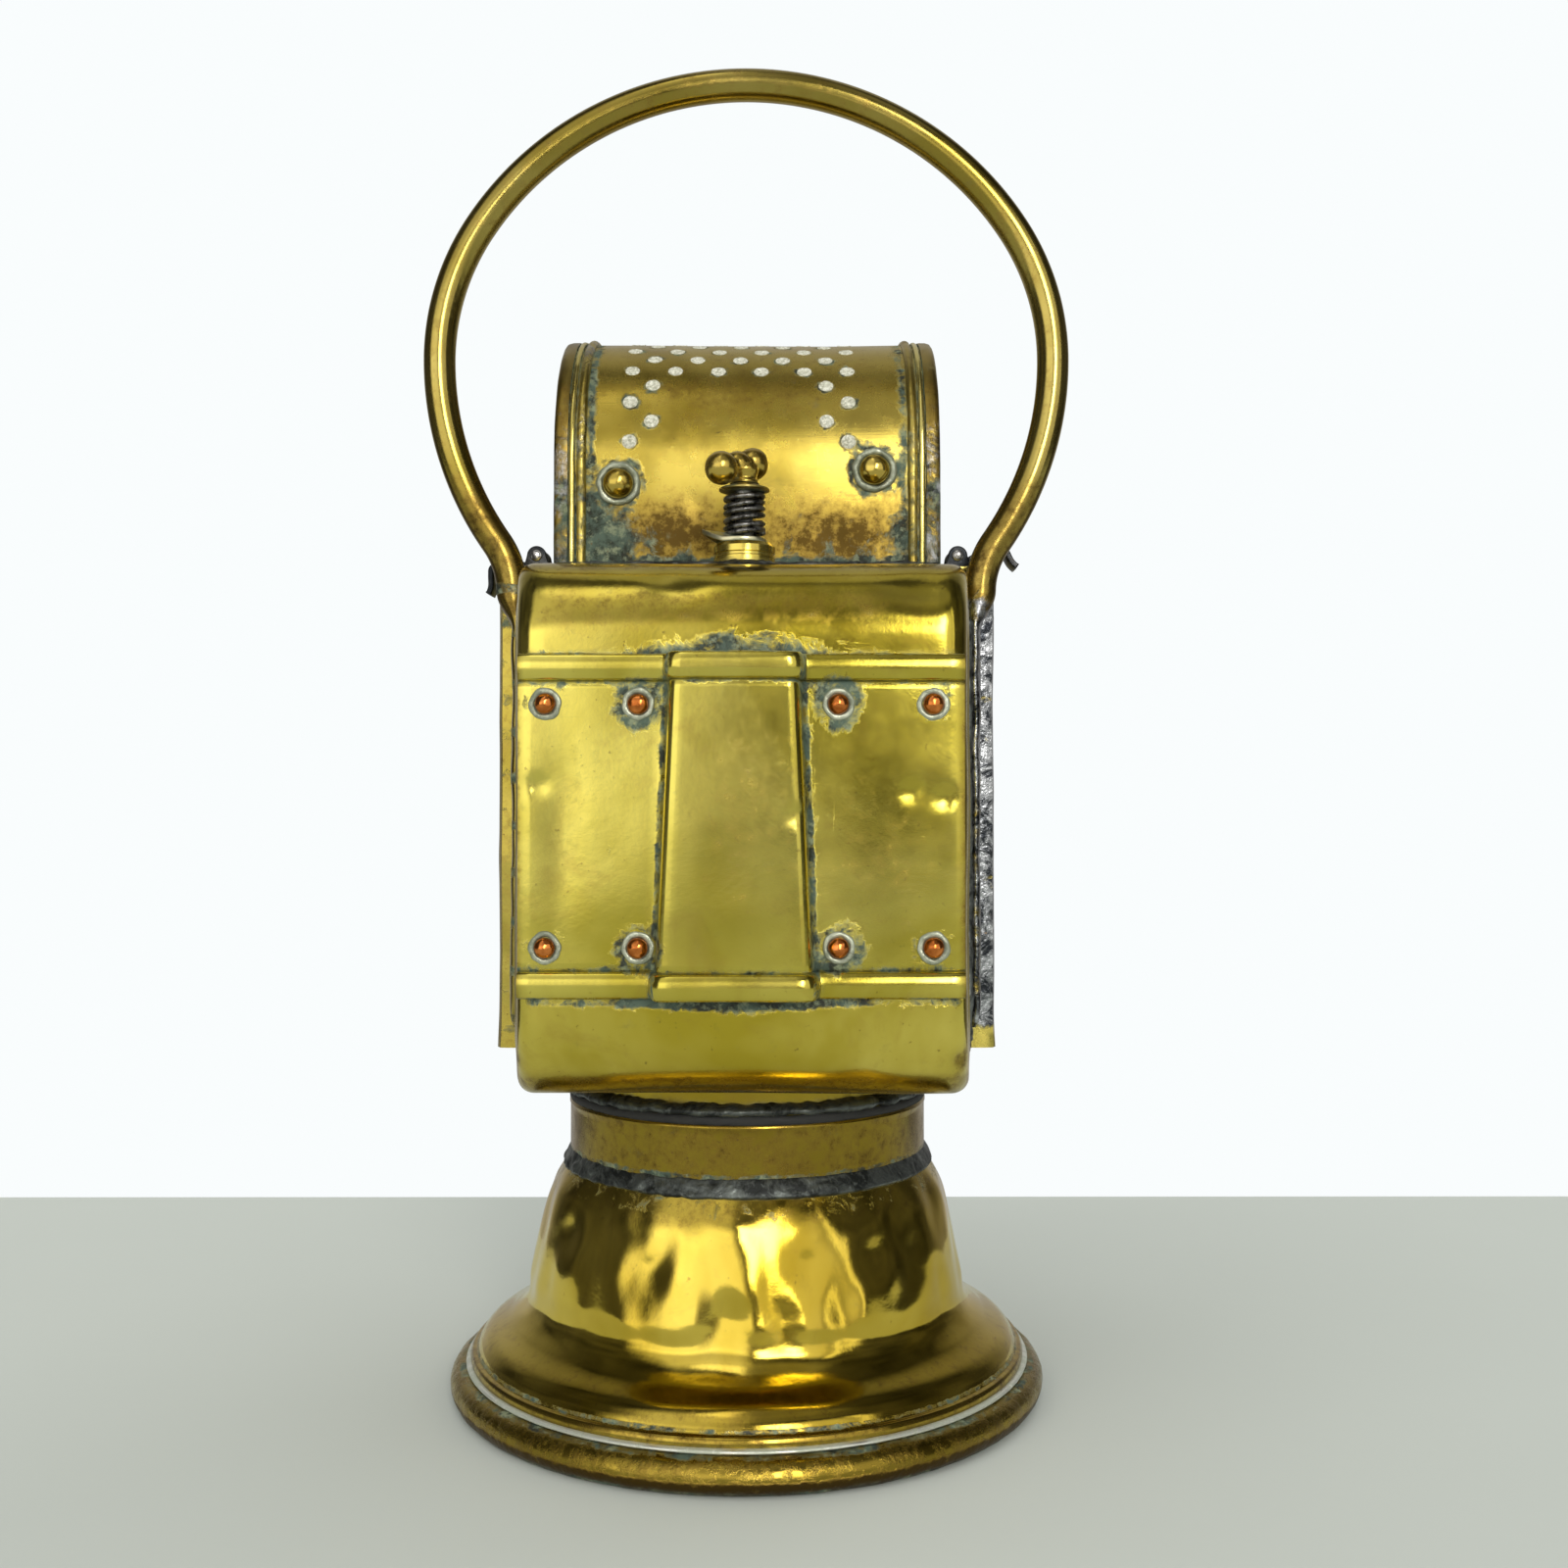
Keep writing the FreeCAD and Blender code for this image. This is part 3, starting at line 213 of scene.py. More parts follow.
def copper(name):
    """Rubbed rivet copper, darkened by painted shade where it meets the plate."""
    g = Graph(name)
    worn = g.level(g.noise(500, 4, 0.6), 0.36, 0.62)
    colour = g.mix(worn, rgb(0.74, 0.25, 0.06), rgb(0.40, 0.11, 0.022))
    # Painted shade: near-black where the rivet meets the plate, found by occlusion.
    rim = g.level(g.corner(0.0016), 0.45, 0.85, 1.0, 0.0)
    colour = g.mix(rim, colour, rgb(0.05, 0.035, 0.03))
    normal = g.bump(g.noise(900, 4), 0.00006)
    return g.paint(color=colour, metal=g.level(rim, 0, 1, 1.0, 0.3), rough=g.level(worn, 0, 1, 0.12, 0.26),
                   normal=normal)


def black_steel(name):
    """Blued spring steel with rust freckles and rubbed edges."""
    g = Graph(name)
    rust = g.level(g.noise(420, 6, 0.7), 0.58, 0.70)
    rub = g.level(g.noise(160, 5, 0.6), 0.50, 0.68)
    colour = g.mix(rub, rgb(0.02, 0.022, 0.024), rgb(0.12, 0.12, 0.115))
    colour = g.mix(rust, colour, rgb(0.09, 0.045, 0.025))
    normal = g.bump(g.noise(600, 5, 0.6), 0.00008)
    return g.paint(color=colour, metal=g.level(rust, 0, 1, 0.9, 0.2), rough=g.level(rust, 0, 1, 0.34, 0.8),
                   normal=normal)


def plain(name, light, dark, metal, low, high, scale=260, depth=0.00005):
    """A two-tone mottled finish; low and high are the roughness of its two tones."""
    g = Graph(name)
    mottle = g.level(g.noise(scale, 6, 0.65), 0.35, 0.68)
    normal = g.bump(g.noise(scale * 3, 4), depth)
    return g.paint(color=g.mix(mottle, light, dark), metal=metal, rough=g.level(mottle, 0, 1, low, high),
                   normal=normal)


def lens_glass():
    """Pressed glass, faintly green and wavy, with a few greasy smears."""
    g = Graph("pressed_glass")
    wave = g.noise(55, 2, 0.4)
    smear = g.level(g.noise(90, 5, 0.6), 0.5, 0.75, 0.015, 0.07)
    normal = g.bump(wave, 0.00012)
    tint = g.mix(g.level(wave, 0.3, 0.7), rgb(0.97, 1.0, 0.985), rgb(0.93, 0.985, 0.96))
    return g.paint(color=tint, rough=smear, normal=normal, ior=1.5, through=1.0)


# Each brass: gloss, dents, grime and patina; its lighter and darker tone; and what differs from the usual.
BRASS = {
    "bell": ((0.11, 0.2, 0.35, 0.08), (0.72, 0.54, 0.085), (0.52, 0.36, 0.03), {"specks": 0.4}),
    "rim": ((0.22, 0.4, 0.4, 0.08), (0.40, 0.285, 0.042), (0.22, 0.145, 0.014), {"pits": 1.0}),
    # The sleeve's two tones are darkened as painted shade, for the dark floor that it reflects.
    "sleeve": ((0.15, 0.1, 0.6, 0.12), (0.40, 0.29, 0.032), (0.25, 0.17, 0.010), {"grain": (1, 1, 6)}),
    "tank": ((0.14, 0.15, 0.5, 0.10), (0.74, 0.61, 0.12), (0.50, 0.39, 0.035), {"specks": 0.5}),
    "plate": ((0.17, 0.12, 0.45, 0.12), (0.74, 0.63, 0.13), (0.47, 0.38, 0.038), {"specks": 0.4}),
    "case": ((0.22, 0.4, 0.8, 0.40), (0.70, 0.57, 0.13), (0.50, 0.39, 0.06), {}),
    "hood": ((0.24, 0.12, 0.7, 0.14), (0.60, 0.46, 0.09), (0.40, 0.29, 0.033), {"grain": (0.12, 3, 3)}),
    "tube": ((0.17, 0.15, 0.4, 0.08), (0.50, 0.40, 0.11), (0.34, 0.26, 0.045), {"specks": 0.35}),
    "turned": ((0.2, 0.1, 0.7, 0.25), (0.72, 0.57, 0.13), (0.52, 0.39, 0.06), {}),
    "smoked": ((0.4, 0.4, 1.0, 0.9), (0.34, 0.25, 0.11), (0.16, 0.12, 0.06), {}),
    "roof": ((0.28, 0.4, 0.9, 0.50), (0.60, 0.48, 0.12), (0.42, 0.32, 0.06), {}),
    "bead": ((0.2, 0.1, 0.9, 0.2), (0.80, 0.68, 0.22), (0.60, 0.48, 0.10), {}),
    "index": ((0.3, 0.1, 0.7, 0.2), (0.66, 0.62, 0.40), (0.44, 0.41, 0.24), {}),
    "tee": ((0.24, 0.05, 0.7, 0.25), (0.56, 0.41, 0.09), (0.38, 0.26, 0.045), {}),
    "stud": ((0.2, 0.1, 0.7, 0.25), (0.58, 0.44, 0.10), (0.42, 0.30, 0.05), {}),
    "cap": ((0.3, 0.5, 1.2, 0.85), (0.40, 0.30, 0.07), (0.20, 0.145, 0.035), {}),
    "dished": ((0.28, 0.1, 0.9, 0.4), (0.50, 0.40, 0.13), (0.24, 0.18, 0.05), {}),
}
M = {key: brass(f"{key}_brass", *kind, rgb(*light), rgb(*dark), **more)
     for key, (kind, light, dark, more) in BRASS.items()}
M |= {
    "solder": solder("lead_solder", rgb(0.20, 0.215, 0.205), rgb(0.012, 0.014, 0.013)),
    "joint": solder("black_joint", rgb(0.16, 0.175, 0.16), rgb(0.008, 0.010, 0.009), 0.0004),
    "seam": solder("rim_seam", rgb(0.86, 0.86, 0.78), rgb(0.52, 0.55, 0.44), 0.0001),
    "ring": solder("rivet_seat", rgb(0.56, 0.58, 0.45), rgb(0.22, 0.24, 0.17), 0.0003),
    "copper": copper("rivet_copper"),
    "steel": black_steel("black_steel"),
    "coil": plain("blackened_coil", rgb(0.012, 0.011, 0.010), rgb(0.34, 0.33, 0.31), 0.95, 0.2, 0.42, 620),
    "bright": plain("bright_steel", rgb(0.55, 0.54, 0.52), rgb(0.35, 0.34, 0.32), 1.0, 0.22, 0.45),
    "silver": plain("silvered", rgb(0.86, 0.85, 0.80), rgb(0.74, 0.70, 0.58), 1.0, 0.05, 0.16, 60, 0.00002),
    "rubber": plain("old_rubber", rgb(0.012, 0.012, 0.012), rgb(0.03, 0.029, 0.027), 0.0, 0.6, 0.85, 300, 0.0001),
    "felt": plain("wool_felt", rgb(0.50, 0.45, 0.36), rgb(0.36, 0.31, 0.24), 0.0, 0.9, 1.0, 900, 0.0003),
    "stone": plain("steatite", rgb(0.82, 0.79, 0.72), rgb(0.62, 0.57, 0.47), 0.0, 0.35, 0.55, 240, 0.00004),
    "ash": plain("polish_residue", rgb(1.0, 0.98, 0.84), rgb(0.30, 0.29, 0.17), 0.0, 0.7, 0.95, 1700, 0.0002),
    "glass": lens_glass(),
}


# ---- mesh tools ----------------------------------------------------------------------------------
def make(name, points, faces, mat, body, nodes=(), sharp=None):
    """A smooth mesh from points in millimetres that stands for CAD nodes.

    It rides on a body; when body is a tuple (body, body, start, end), it is left where it is and rides on none.
    """
    mesh = bpy.data.meshes.new(name)
    mesh.from_pydata((np.asarray(points, float) * MM).tolist(), [], [tuple(map(int, f)) for f in faces])
    mesh.validate()
    mesh.shade_smooth()
    if sharp is not None:
        mesh.set_sharp_from_angle(angle=math.radians(sharp))
    mesh.materials.append(mat)
    piece = bpy.data.objects.new(name, mesh)
    bpy.context.scene.collection.objects.link(piece)
    if isinstance(body, tuple):
        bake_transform(piece)
    else:
        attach(piece, body)
    if nodes:
        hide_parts(*nodes)
    return piece


def paint(node, mat):
    """Gives a CAD node its finish."""
    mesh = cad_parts[node].data
    mesh.materials.clear()
    mesh.materials.append(mat)


def unit(vectors):
    """The same directions with length 1; a zero vector stays zero."""
    return vectors / np.maximum(np.linalg.norm(vectors, axis=-1, keepdims=True), 1e-9)


def line_of(x, y, z):
    """Points from three coordinates, each an array or one number for the whole line."""
    return np.stack(np.broadcast_arrays(x, y, z), -1).astype(float)


def band(value, low, high, soft):
    """1 between low and high, falling to 0 over the soft distance outside them."""
    return np.clip(np.minimum(value - low, high - value) / soft + 1, 0, 1)


def spot(x, z, centre, size):
    return np.exp(-((x - centre[0]) / size[0]) ** 2 - ((z - centre[1]) / size[1]) ** 2)


def lay_stains_and_shade(piece, laid):
    """Lays marks on a piece: laid(x, y, z) gives verdigris, tarnish with painted shade, and lead for every vertex."""
    mesh = piece.data
    at = np.empty(len(mesh.vertices) * 3)
    mesh.vertices.foreach_get("co", at)
    x, y, z = at.reshape(-1, 3).T / MM
    marks = np.stack([np.clip(m + 0 * x, 0, 1) for m in laid(x, y, z)], -1)
    mesh.attributes.new("marks", "FLOAT_VECTOR", "POINT").data.foreach_set("vector", marks.ravel())


def grid_faces(rows, columns, close_rows=False, close_columns=False):
    """Quads of a grid whose points are numbered row by row."""
    row = np.arange(rows if close_rows else rows - 1)
    column = np.arange(columns if close_columns else columns - 1)
    r, c = np.meshgrid(row, column, indexing="ij")
    r2, c2 = (r + 1) % rows, (c + 1) % columns
    quads = np.stack([r * columns + c, r * columns + c2, r2 * columns + c2, r2 * columns + c], -1)
    return quads.reshape(-1, 4)


def ripple(points, size, depth, seed=0.0):
    """Smooth noise in millimetres for an array of points, the same on every run."""
    shift = Vector((seed * 7.3, seed * 3.1, seed * 5.7))
    flat = np.asarray(points, float).reshape(-1, 3) / size
    values = np.array([noise.noise(Vector(p) + shift) for p in flat])
    return depth * values.reshape(np.asarray(points).shape[:-1])


def bowls(points, centres, radius, depth):
    """Round knocks: how deep each point is pushed in, in millimetres."""
    push = np.zeros(points.shape[:-1])
    for centre in centres:
        away = np.linalg.norm(points - np.array(centre), axis=-1) / radius
        push += depth * np.exp(-1.6 * away ** 2)
    return push


def smooth_line(points, count):
    """Catmull-Rom curve through 2-D points, with count samples."""
    p = np.array(points, float)
    p = np.vstack([2 * p[0] - p[1], p, 2 * p[-1] - p[-2]])
    t = np.linspace(0, len(points) - 1 - 1e-9, count)
    i = t.astype(int)
    f = (t - i)[:, None]
    a, b, c, d = p[i], p[i + 1], p[i + 2], p[i + 3]
    return 0.5 * (2 * b + (c - a) * f + (2 * a - 5 * b + 4 * c - d) * f ** 2 + (3 * b - a - 3 * c + d) * f ** 3)


def dense(line, pitch):
    """Resamples a 2-D line at about the given pitch, keeping its corners."""
    out = []
    for a, b in zip(line, line[1:]):
        steps = max(1, int(np.ceil(np.linalg.norm(b - a) / pitch)))
        out += [a + (b - a) * k / steps for k in range(steps)]
    return np.array(out + [line[-1]])


def lathe(name, profile, mat, body, nodes=(), segments=240, shove=None, centre=(0, 0), axis="z", height=0.0,
          sharp=40, closed=False):
    """Turns a (radius, height) profile; shove(points, turn, along) gives an outward push in millimetres."""
    profile = np.array(profile, float)
    turn = np.linspace(0, 2 * math.pi, segments, endpoint=False)
    r, c = profile[:, 0][:, None], np.cos(turn)[None]
    x, y = r * c, r * np.sin(turn)[None]
    z = np.repeat(profile[:, 1][:, None], segments, 1)
    points = np.stack([x, y, z], -1)
    if shove is not None:
        ahead = np.roll(profile, -1, 0) if closed else np.gradient(profile, axis=0)
        edge = ahead - np.roll(profile, 1, 0) if closed else ahead
        out = unit(np.stack([edge[:, 1], -edge[:, 0]], -1))
        push = shove(points, np.repeat(turn[None], len(profile), 0), z)
        points += push[..., None] * np.stack([out[:, :1] * np.cos(turn), out[:, :1] * np.sin(turn),
                                              np.repeat(out[:, 1:], segments, 1)], -1)
    if axis == "y":
        points = np.stack([points[..., 0], points[..., 2], -points[..., 1]], -1)
    points += np.array([centre[0], centre[1], height])
    faces = grid_faces(len(profile), segments, closed, True)
    return make(name, points.reshape(-1, 3), faces, mat, body, nodes, sharp)


def tube(name, path, across, widths, mat, body, nodes=(), sides=40, sharp=None):
    """Sweeps an oval along a path; across is the constant sideways direction, widths the two half widths."""
    path, widths = np.array(path, float), np.array(widths, float)
    ahead = unit(np.gradient(path, axis=0))
    side = np.array(across, float)
    up = np.cross(ahead, side)
    turn = np.linspace(0, 2 * math.pi, sides, endpoint=False)
    rings = (path[:, None] + up[:, None] * (np.cos(turn)[None, :, None] * widths[:, None, :1])
             + side * (np.sin(turn)[None, :, None] * widths[:, None, 1:]))
    points = rings.reshape(-1, 3)
    last = (len(path) - 1) * sides
    caps = [tuple(range(sides))[::-1], tuple(range(last, last + sides))]
    faces = [tuple(f) for f in grid_faces(len(path), sides, False, True)] + caps
    return make(name, points, faces, mat, body, nodes, sharp)


def slab(name, outline, low, high, edge, axis, mat, body, nodes=(), dents=0.0):
    """A plate with rounded edges: a closed 2-D outline carried from low to high along an axis."""
    line = np.array(outline, float)
    ahead = np.roll(line, -1, 0) - np.roll(line, 1, 0)
    normal = unit(np.stack([ahead[:, 1], -ahead[:, 0]], -1))
    area = np.sum(line[:, 0] * np.roll(line[:, 1], -1) - np.roll(line[:, 0], -1) * line[:, 1])
    normal *= 1 if area > 0 else -1
    turns = np.radians([90, 84, 60, 30, 0])
    rows = [(edge * (1 - math.cos(t)), low + edge * (1 - math.sin(t))) for t in turns]
    rows += [(inset, low + high - at) for inset, at in reversed(rows)]
    points = []
    for inset, at in rows:
        flat = line - normal * inset
        points.append({"z": np.c_[flat, np.full(len(line), at)],
                       "y": np.c_[flat[:, 0], np.full(len(line), at), flat[:, 1]],
                       "x": np.c_[np.full(len(line), at), flat]}[axis])
    points = np.concatenate(points)
    if dents:
        points += np.stack([ripple(points, 9.0, dents, k + 1.0) for k in range(3)], -1)
    count = len(line)
    faces = [tuple(f) for f in grid_faces(len(rows), count, False, True)]
    faces += [tuple(range(count))[::-1], tuple(range((len(rows) - 1) * count, len(rows) * count))]
    return make(name, points, faces, mat, body, nodes, sharp=28)


def ribbon(path, thickness):
    """Closed outline of a bent strip from its centreline."""
    path = np.array(path, float)
    ahead = np.gradient(path, axis=0)
    side = np.stack([-ahead[:, 1], ahead[:, 0]], -1)
    side *= (thickness / 2 / np.linalg.norm(side, axis=1))[:, None]
    return np.concatenate([path - side, (path + side)[::-1]])


def eased_corner(before, here, after, reach, samples):
    """Points of a rounded corner that starts and ends at a reach from it."""
    a, b = here + unit(before - here) * reach, here + unit(after - here) * reach
    return [(1 - t) ** 2 * a + 2 * t * (1 - t) * here + t ** 2 * b for t in np.linspace(0, 1, samples)]


def corner_closed(points, radius, samples=5):
    """A closed outline with rounded corners."""
    p = [np.array(q, float) for q in points]
    out = []
    for before, here, after in zip(p[-1:] + p[:-1], p, p[1:] + p[:1]):
        reach = min(radius, 0.45 * np.linalg.norm(before - here), 0.45 * np.linalg.norm(after - here))
        out += eased_corner(before, here, after, reach, samples)
    return np.array(out)


def turn_2d(points, centre, degrees):
    a = math.radians(degrees)
    spin = np.array([[math.cos(a), -math.sin(a)], [math.sin(a), math.cos(a)]])
    return (np.array(points) - centre) @ spin.T + centre


def disc_points(centre, radius, count):
    turn = np.linspace(0, 2 * math.pi, count, endpoint=False)
    return np.stack([centre[0] + radius * np.cos(turn), centre[1] + radius * np.sin(turn)], -1)


def pierced(name, size_u, size_v, pitch, holes, shape, thickness, mat, body, nodes=()):
    """A bent sheet with round holes. shape(u, v) places the outside; the inside lies one thickness behind it.

    holes are (u, v, radius).
    """
    lip = 0.22
    border = [(size_u[0], size_v[0]), (size_u[1], size_v[0]), (size_u[1], size_v[1]), (size_u[0], size_v[1])]
    border = dense(np.array(border + border[:1]), pitch)[:-1]
    points = [tuple(p) for p in border]
    edges = [(i, (i + 1) % len(border)) for i in range(len(border))]
    centres = np.array([h[:2] for h in holes])
    sides = 28
    for u, v, radius in holes:
        first = len(points)
        points += [tuple(p) for p in disc_points((u, v), radius, sides)]
        edges += [(first + i, first + (i + 1) % sides) for i in range(sides)]
        points += [tuple(p) for p in disc_points((u, v), radius + lip, sides)]
    u, v = np.meshgrid(np.arange(size_u[0] + pitch, size_u[1] - pitch / 2, pitch),
                       np.arange(size_v[0] + pitch, size_v[1] - pitch / 2, pitch), indexing="ij")
    inner = np.stack([u.ravel(), v.ravel()], -1)
    for centre, (_, _, radius) in zip(centres, holes):
        inner = inner[np.linalg.norm(inner - centre, axis=1) > radius + lip + 0.35 * pitch]
    points += [tuple(p) for p in inner]
    flat = geometry.delaunay_2d_cdt([Vector(p) for p in points], edges, [], 0, 1e-5)
    at = np.array([tuple(p) for p in flat[0]])
    faces = np.array([f for f in flat[2] if len(f) == 3])
    middle = at[faces].mean(1)
    keep = np.ones(len(faces), bool)
    for centre, (_, _, radius) in zip(centres, holes):
        keep &= np.linalg.norm(middle - centre, axis=1) > radius * 0.985
    faces = faces[keep]
    a, b, c = at[faces[:, 0]], at[faces[:, 1]], at[faces[:, 2]]
    wrong = (b[:, 0] - a[:, 0]) * (c[:, 1] - a[:, 1]) - (b[:, 1] - a[:, 1]) * (c[:, 0] - a[:, 0]) < 0
    faces[wrong] = faces[wrong][:, ::-1]
    outer = shape(at[:, 0], at[:, 1])
    step = 1e-3
    du = shape(at[:, 0] + step, at[:, 1]) - shape(at[:, 0] - step, at[:, 1])
    dv = shape(at[:, 0], at[:, 1] + step) - shape(at[:, 0], at[:, 1] - step)
    back = outer - unit(np.cross(du, dv)) * thickness
    count = len(at)
    pairs = {}
    for f in faces:
        for p, q in ((f[0], f[1]), (f[1], f[2]), (f[2], f[0])):
            pairs[(p, q)] = pairs.get((p, q), 0) + 1
    walls = [(q, p, p + count, q + count) for p, q in pairs if (q, p) not in pairs]
    everything = [tuple(f) for f in faces] + [tuple(f[::-1] + count) for f in faces] + walls
    return make(name, np.concatenate([outer, back]), everything, mat, body, nodes, sharp=50)


# ---- base ----------------------------------------------------------------------------------------
FOOT_R, ROLL_R, ROLL_Z = 58.2, 3.3, 3.0
BELL = [(53.8, 5.0), (54.2, 6.6), (54.4, 7.7), (54.0, 8.7), (53.2, 9.0), (52.9, 9.5), (52.2, 10.8), (50.6, 12.4),
        (46.6, 14.8), (43.3, 18.2), (42.3, 23.6), (40.7, 31.5), (38.6, 39.4), (35.0, 46.0)]
SLEEVE_R, SLEEVE_LOW, SLEEVE_TOP = 35.3, 42.0, 56.6


def knocked(points, turn, along):
    """The bell's hand-hammered wall: upright folds above the flange, and a few deeper knocks."""
    wall = np.clip((along - 15) / 7, 0, 1) * np.clip((45 - along) / 5, 0, 1)
    folds = ripple(points, (7.0, 7.0, 20.0), 0.62, 1) + ripple(points, (5.0, 5.0, 8.0), 0.20, 2)
    spots = [(-17, -38, 31), (-2, -42, 24), (12, -40, 33), (24, -33, 33), (-33, -24, 35), (38, 14, 28), (-12, 40, 30)]
    return wall * folds - bowls(points, spots, 5.0, 0.55) * wall - 0.12 + ripple(points, 16.0, 0.05, 3)


def worn(size, depth, seed, bias=1.0):
    return lambda points, turn, along: ripple(points, size, depth, seed) - bias * depth


def lumpy(size, depth, seed):
    """Solder laid by hand: rounded lumps with creases between them."""
    def push(points, turn, along):
        lumps = depth * (0.9 - 1.6 * np.abs(ripple(points, size, 1.0, seed)))
        return lumps + ripple(points, size / 3, depth / 3, seed + 1)
    return push


def build_base():
    bell = lathe("bell", smooth_line(BELL, 220), M["bell"], "base", ["foot_bell"], 420, knocked)
    lay_stains_and_shade(bell, lambda x, y, z: (0.50 * band(z, 9.0, 9.5, 0.4) + 0.35 * band(z, 41, 46, 2),
                                 0.30 * band(z, 9.5, 14, 3) + 0.36 * band(z, 40, 46, 2.5)
                                 + 0.40 * band(z, 5, 8.5, 1), 0))
    roll = [(FOOT_R - ROLL_R + ROLL_R * math.cos(t), max(ROLL_Z + ROLL_R * math.sin(t), 0.0))
            for t in np.linspace(0, 2 * math.pi, 48, endpoint=False)]
    rim = lathe("foot_roll", roll, M["rim"], "base", ["foot_rim"], 360, worn((4, 4, 2), 0.10, 4),
                closed=True)
    lay_stains_and_shade(rim, lambda x, y, z: (0.50 * band(z, -1, 0.8, 0.7) + 0.5 * band(z, 5.9, 7, 0.4),
                                np.maximum(band(z, -1, 2.4, 1.0), 0.36), 0))
    seam = smooth_line([(53.8, 6.2), (54.7, 6.3), (55.1, 6.55), (55.0, 6.85), (54.6, 7.05), (53.9, 7.1)], 12)
    lathe("rim_seam", seam, M["seam"], "base", ["rim_solder"], 360, lumpy(4.0, 0.06, 5), sharp=80)
    edge = [(SLEEVE_R - 0.8, SLEEVE_LOW), (SLEEVE_R - 0.8, SLEEVE_TOP - 0.35), (SLEEVE_R - 0.55, SLEEVE_TOP),
            (SLEEVE_R - 0.2, SLEEVE_TOP), (SLEEVE_R, SLEEVE_TOP - 0.3), (SLEEVE_R, SLEEVE_TOP - 0.7),
            (SLEEVE_R - 0.16, SLEEVE_TOP - 1.0), (SLEEVE_R - 0.16, 50.0), (SLEEVE_R - 0.16, SLEEVE_LOW)]
    sleeve = lathe("sleeve", dense(np.array(edge), 0.8), M["sleeve"], "base", ["neck_sleeve"], 300,
                   lambda points, turn, along: ripple(points, (9, 9, 30), 0.05, 6) * (along < 55.5))
    # Tarnish and painted shade: the whole sleeve is darkened evenly, standing for the dark floor that it reflects.
    lay_stains_and_shade(sleeve, lambda x, y, z: (0.5 * band(z, 42, 47.6, 1), 0.5 * band(z, 40, 60, 1.5), 0))
    weld = smooth_line([(35.0, 47.3), (35.3, 47.1), (35.7, 46.5), (36.2, 45.6), (36.6, 44.7), (36.7, 44.1),
                        (36.1, 43.5)], 26)

    def laid(points, turn, along):
        left = np.clip((15 - points[..., 0]) / 30, 0.35, 1)
        return lumpy(3.0, 0.36, 7)(points, turn, along) * left
    lathe("sleeve_seam", weld, M["joint"], "base", ["sleeve_solder"], 480, laid, sharp=80)
    for node in ("base_floor", "carbide_pot"):
        paint(node, M["smoked"])


# ---- neck ----------------------------------------------------------------------------------------
def build_neck():
    gasket = [(33.1, 56.7), (35.0, 56.65), (35.25, 57.0), (35.25, 57.8), (35.0, 58.15), (33.1, 58.1)]
    lathe("gasket", dense(np.array(gasket + gasket[:1]), 0.4)[:-1], M["rubber"], "seal",
          ["neck_gasket"], 300, lumpy(3.0, 0.10, 8), closed=True)
    thread_low, pitch = 46.5, 2.5
    thread = [(33.0, thread_low)]
    for turn in range(4):
        low = thread_low + pitch * turn
        thread += [(34.35, low + 0.55), (34.35, low + 0.9), (33.0, low + 1.5)]
    collar = [(32.2, 67.2), (32.2, thread_low)] + thread
    collar += [(33.0, 58.2), (34.7, 58.2), (35.0, 58.45), (35.0, 58.9), (34.7, 59.2), (33.4, 59.2), (33.4, 67.2)]
    lathe("collar", dense(np.array(collar), 1.0), M["sleeve"], "lamp_house", ["upper_collar"], 300,
          sharp=25)
    weld = smooth_line([(33.3, 58.25), (34.7, 58.3), (35.3, 58.6), (35.4, 59.1), (34.9, 59.6), (34.1, 59.9),
                        (33.2, 60.1)], 24)
    lathe("collar_seam", weld, M["joint"], "lamp_house", ["collar_solder"], 480, lumpy(3.6, 0.45, 9),
          sharp=80)


# ---- tank ----------------------------------------------------------------------------------------
TANK_LOW, TANK_HIGH, FACE, BACK = 63.5, 156.3, -54.0, -12.4
TANK_MID = (TANK_LOW + TANK_HIGH) / 2
PRESSED = ((-38.6, 70.5), (37, 70.5))


def tank_width(y):
    return 38.4 + 3.6 * (y - FACE) / (BACK - FACE)


def tank_profile():
    """Side view of the tank from the back of its bottom, round the face, to the back of its top.

    Each row is a point (y, z) and its outward direction (y, z).
    """
    roll, steps = 14.0, []
    for y in np.arange(BACK, FACE + roll, -1.6):
        steps.append((y, TANK_LOW, 0, -1))
    for a in np.linspace(0, math.pi / 2, 22):
        steps.append((FACE + roll - roll * math.sin(a), TANK_LOW + roll - roll * math.cos(a),
                      -math.sin(a), -math.cos(a)))
    for z in np.arange(TANK_LOW + roll + 1.5, TANK_HIGH - roll - 0.5, 1.5):
        steps.append((FACE, z, -1, 0))
    for a in np.linspace(math.pi / 2, 0, 22):
        steps.append((FACE + roll - roll * math.sin(a), TANK_HIGH - roll + roll * math.cos(a),
                      -math.sin(a), math.cos(a)))
    for y in np.arange(FACE + roll + 1.6, BACK + 0.01, 1.6):
        steps.append((y, TANK_HIGH, 0, 1))
    return np.array(steps)


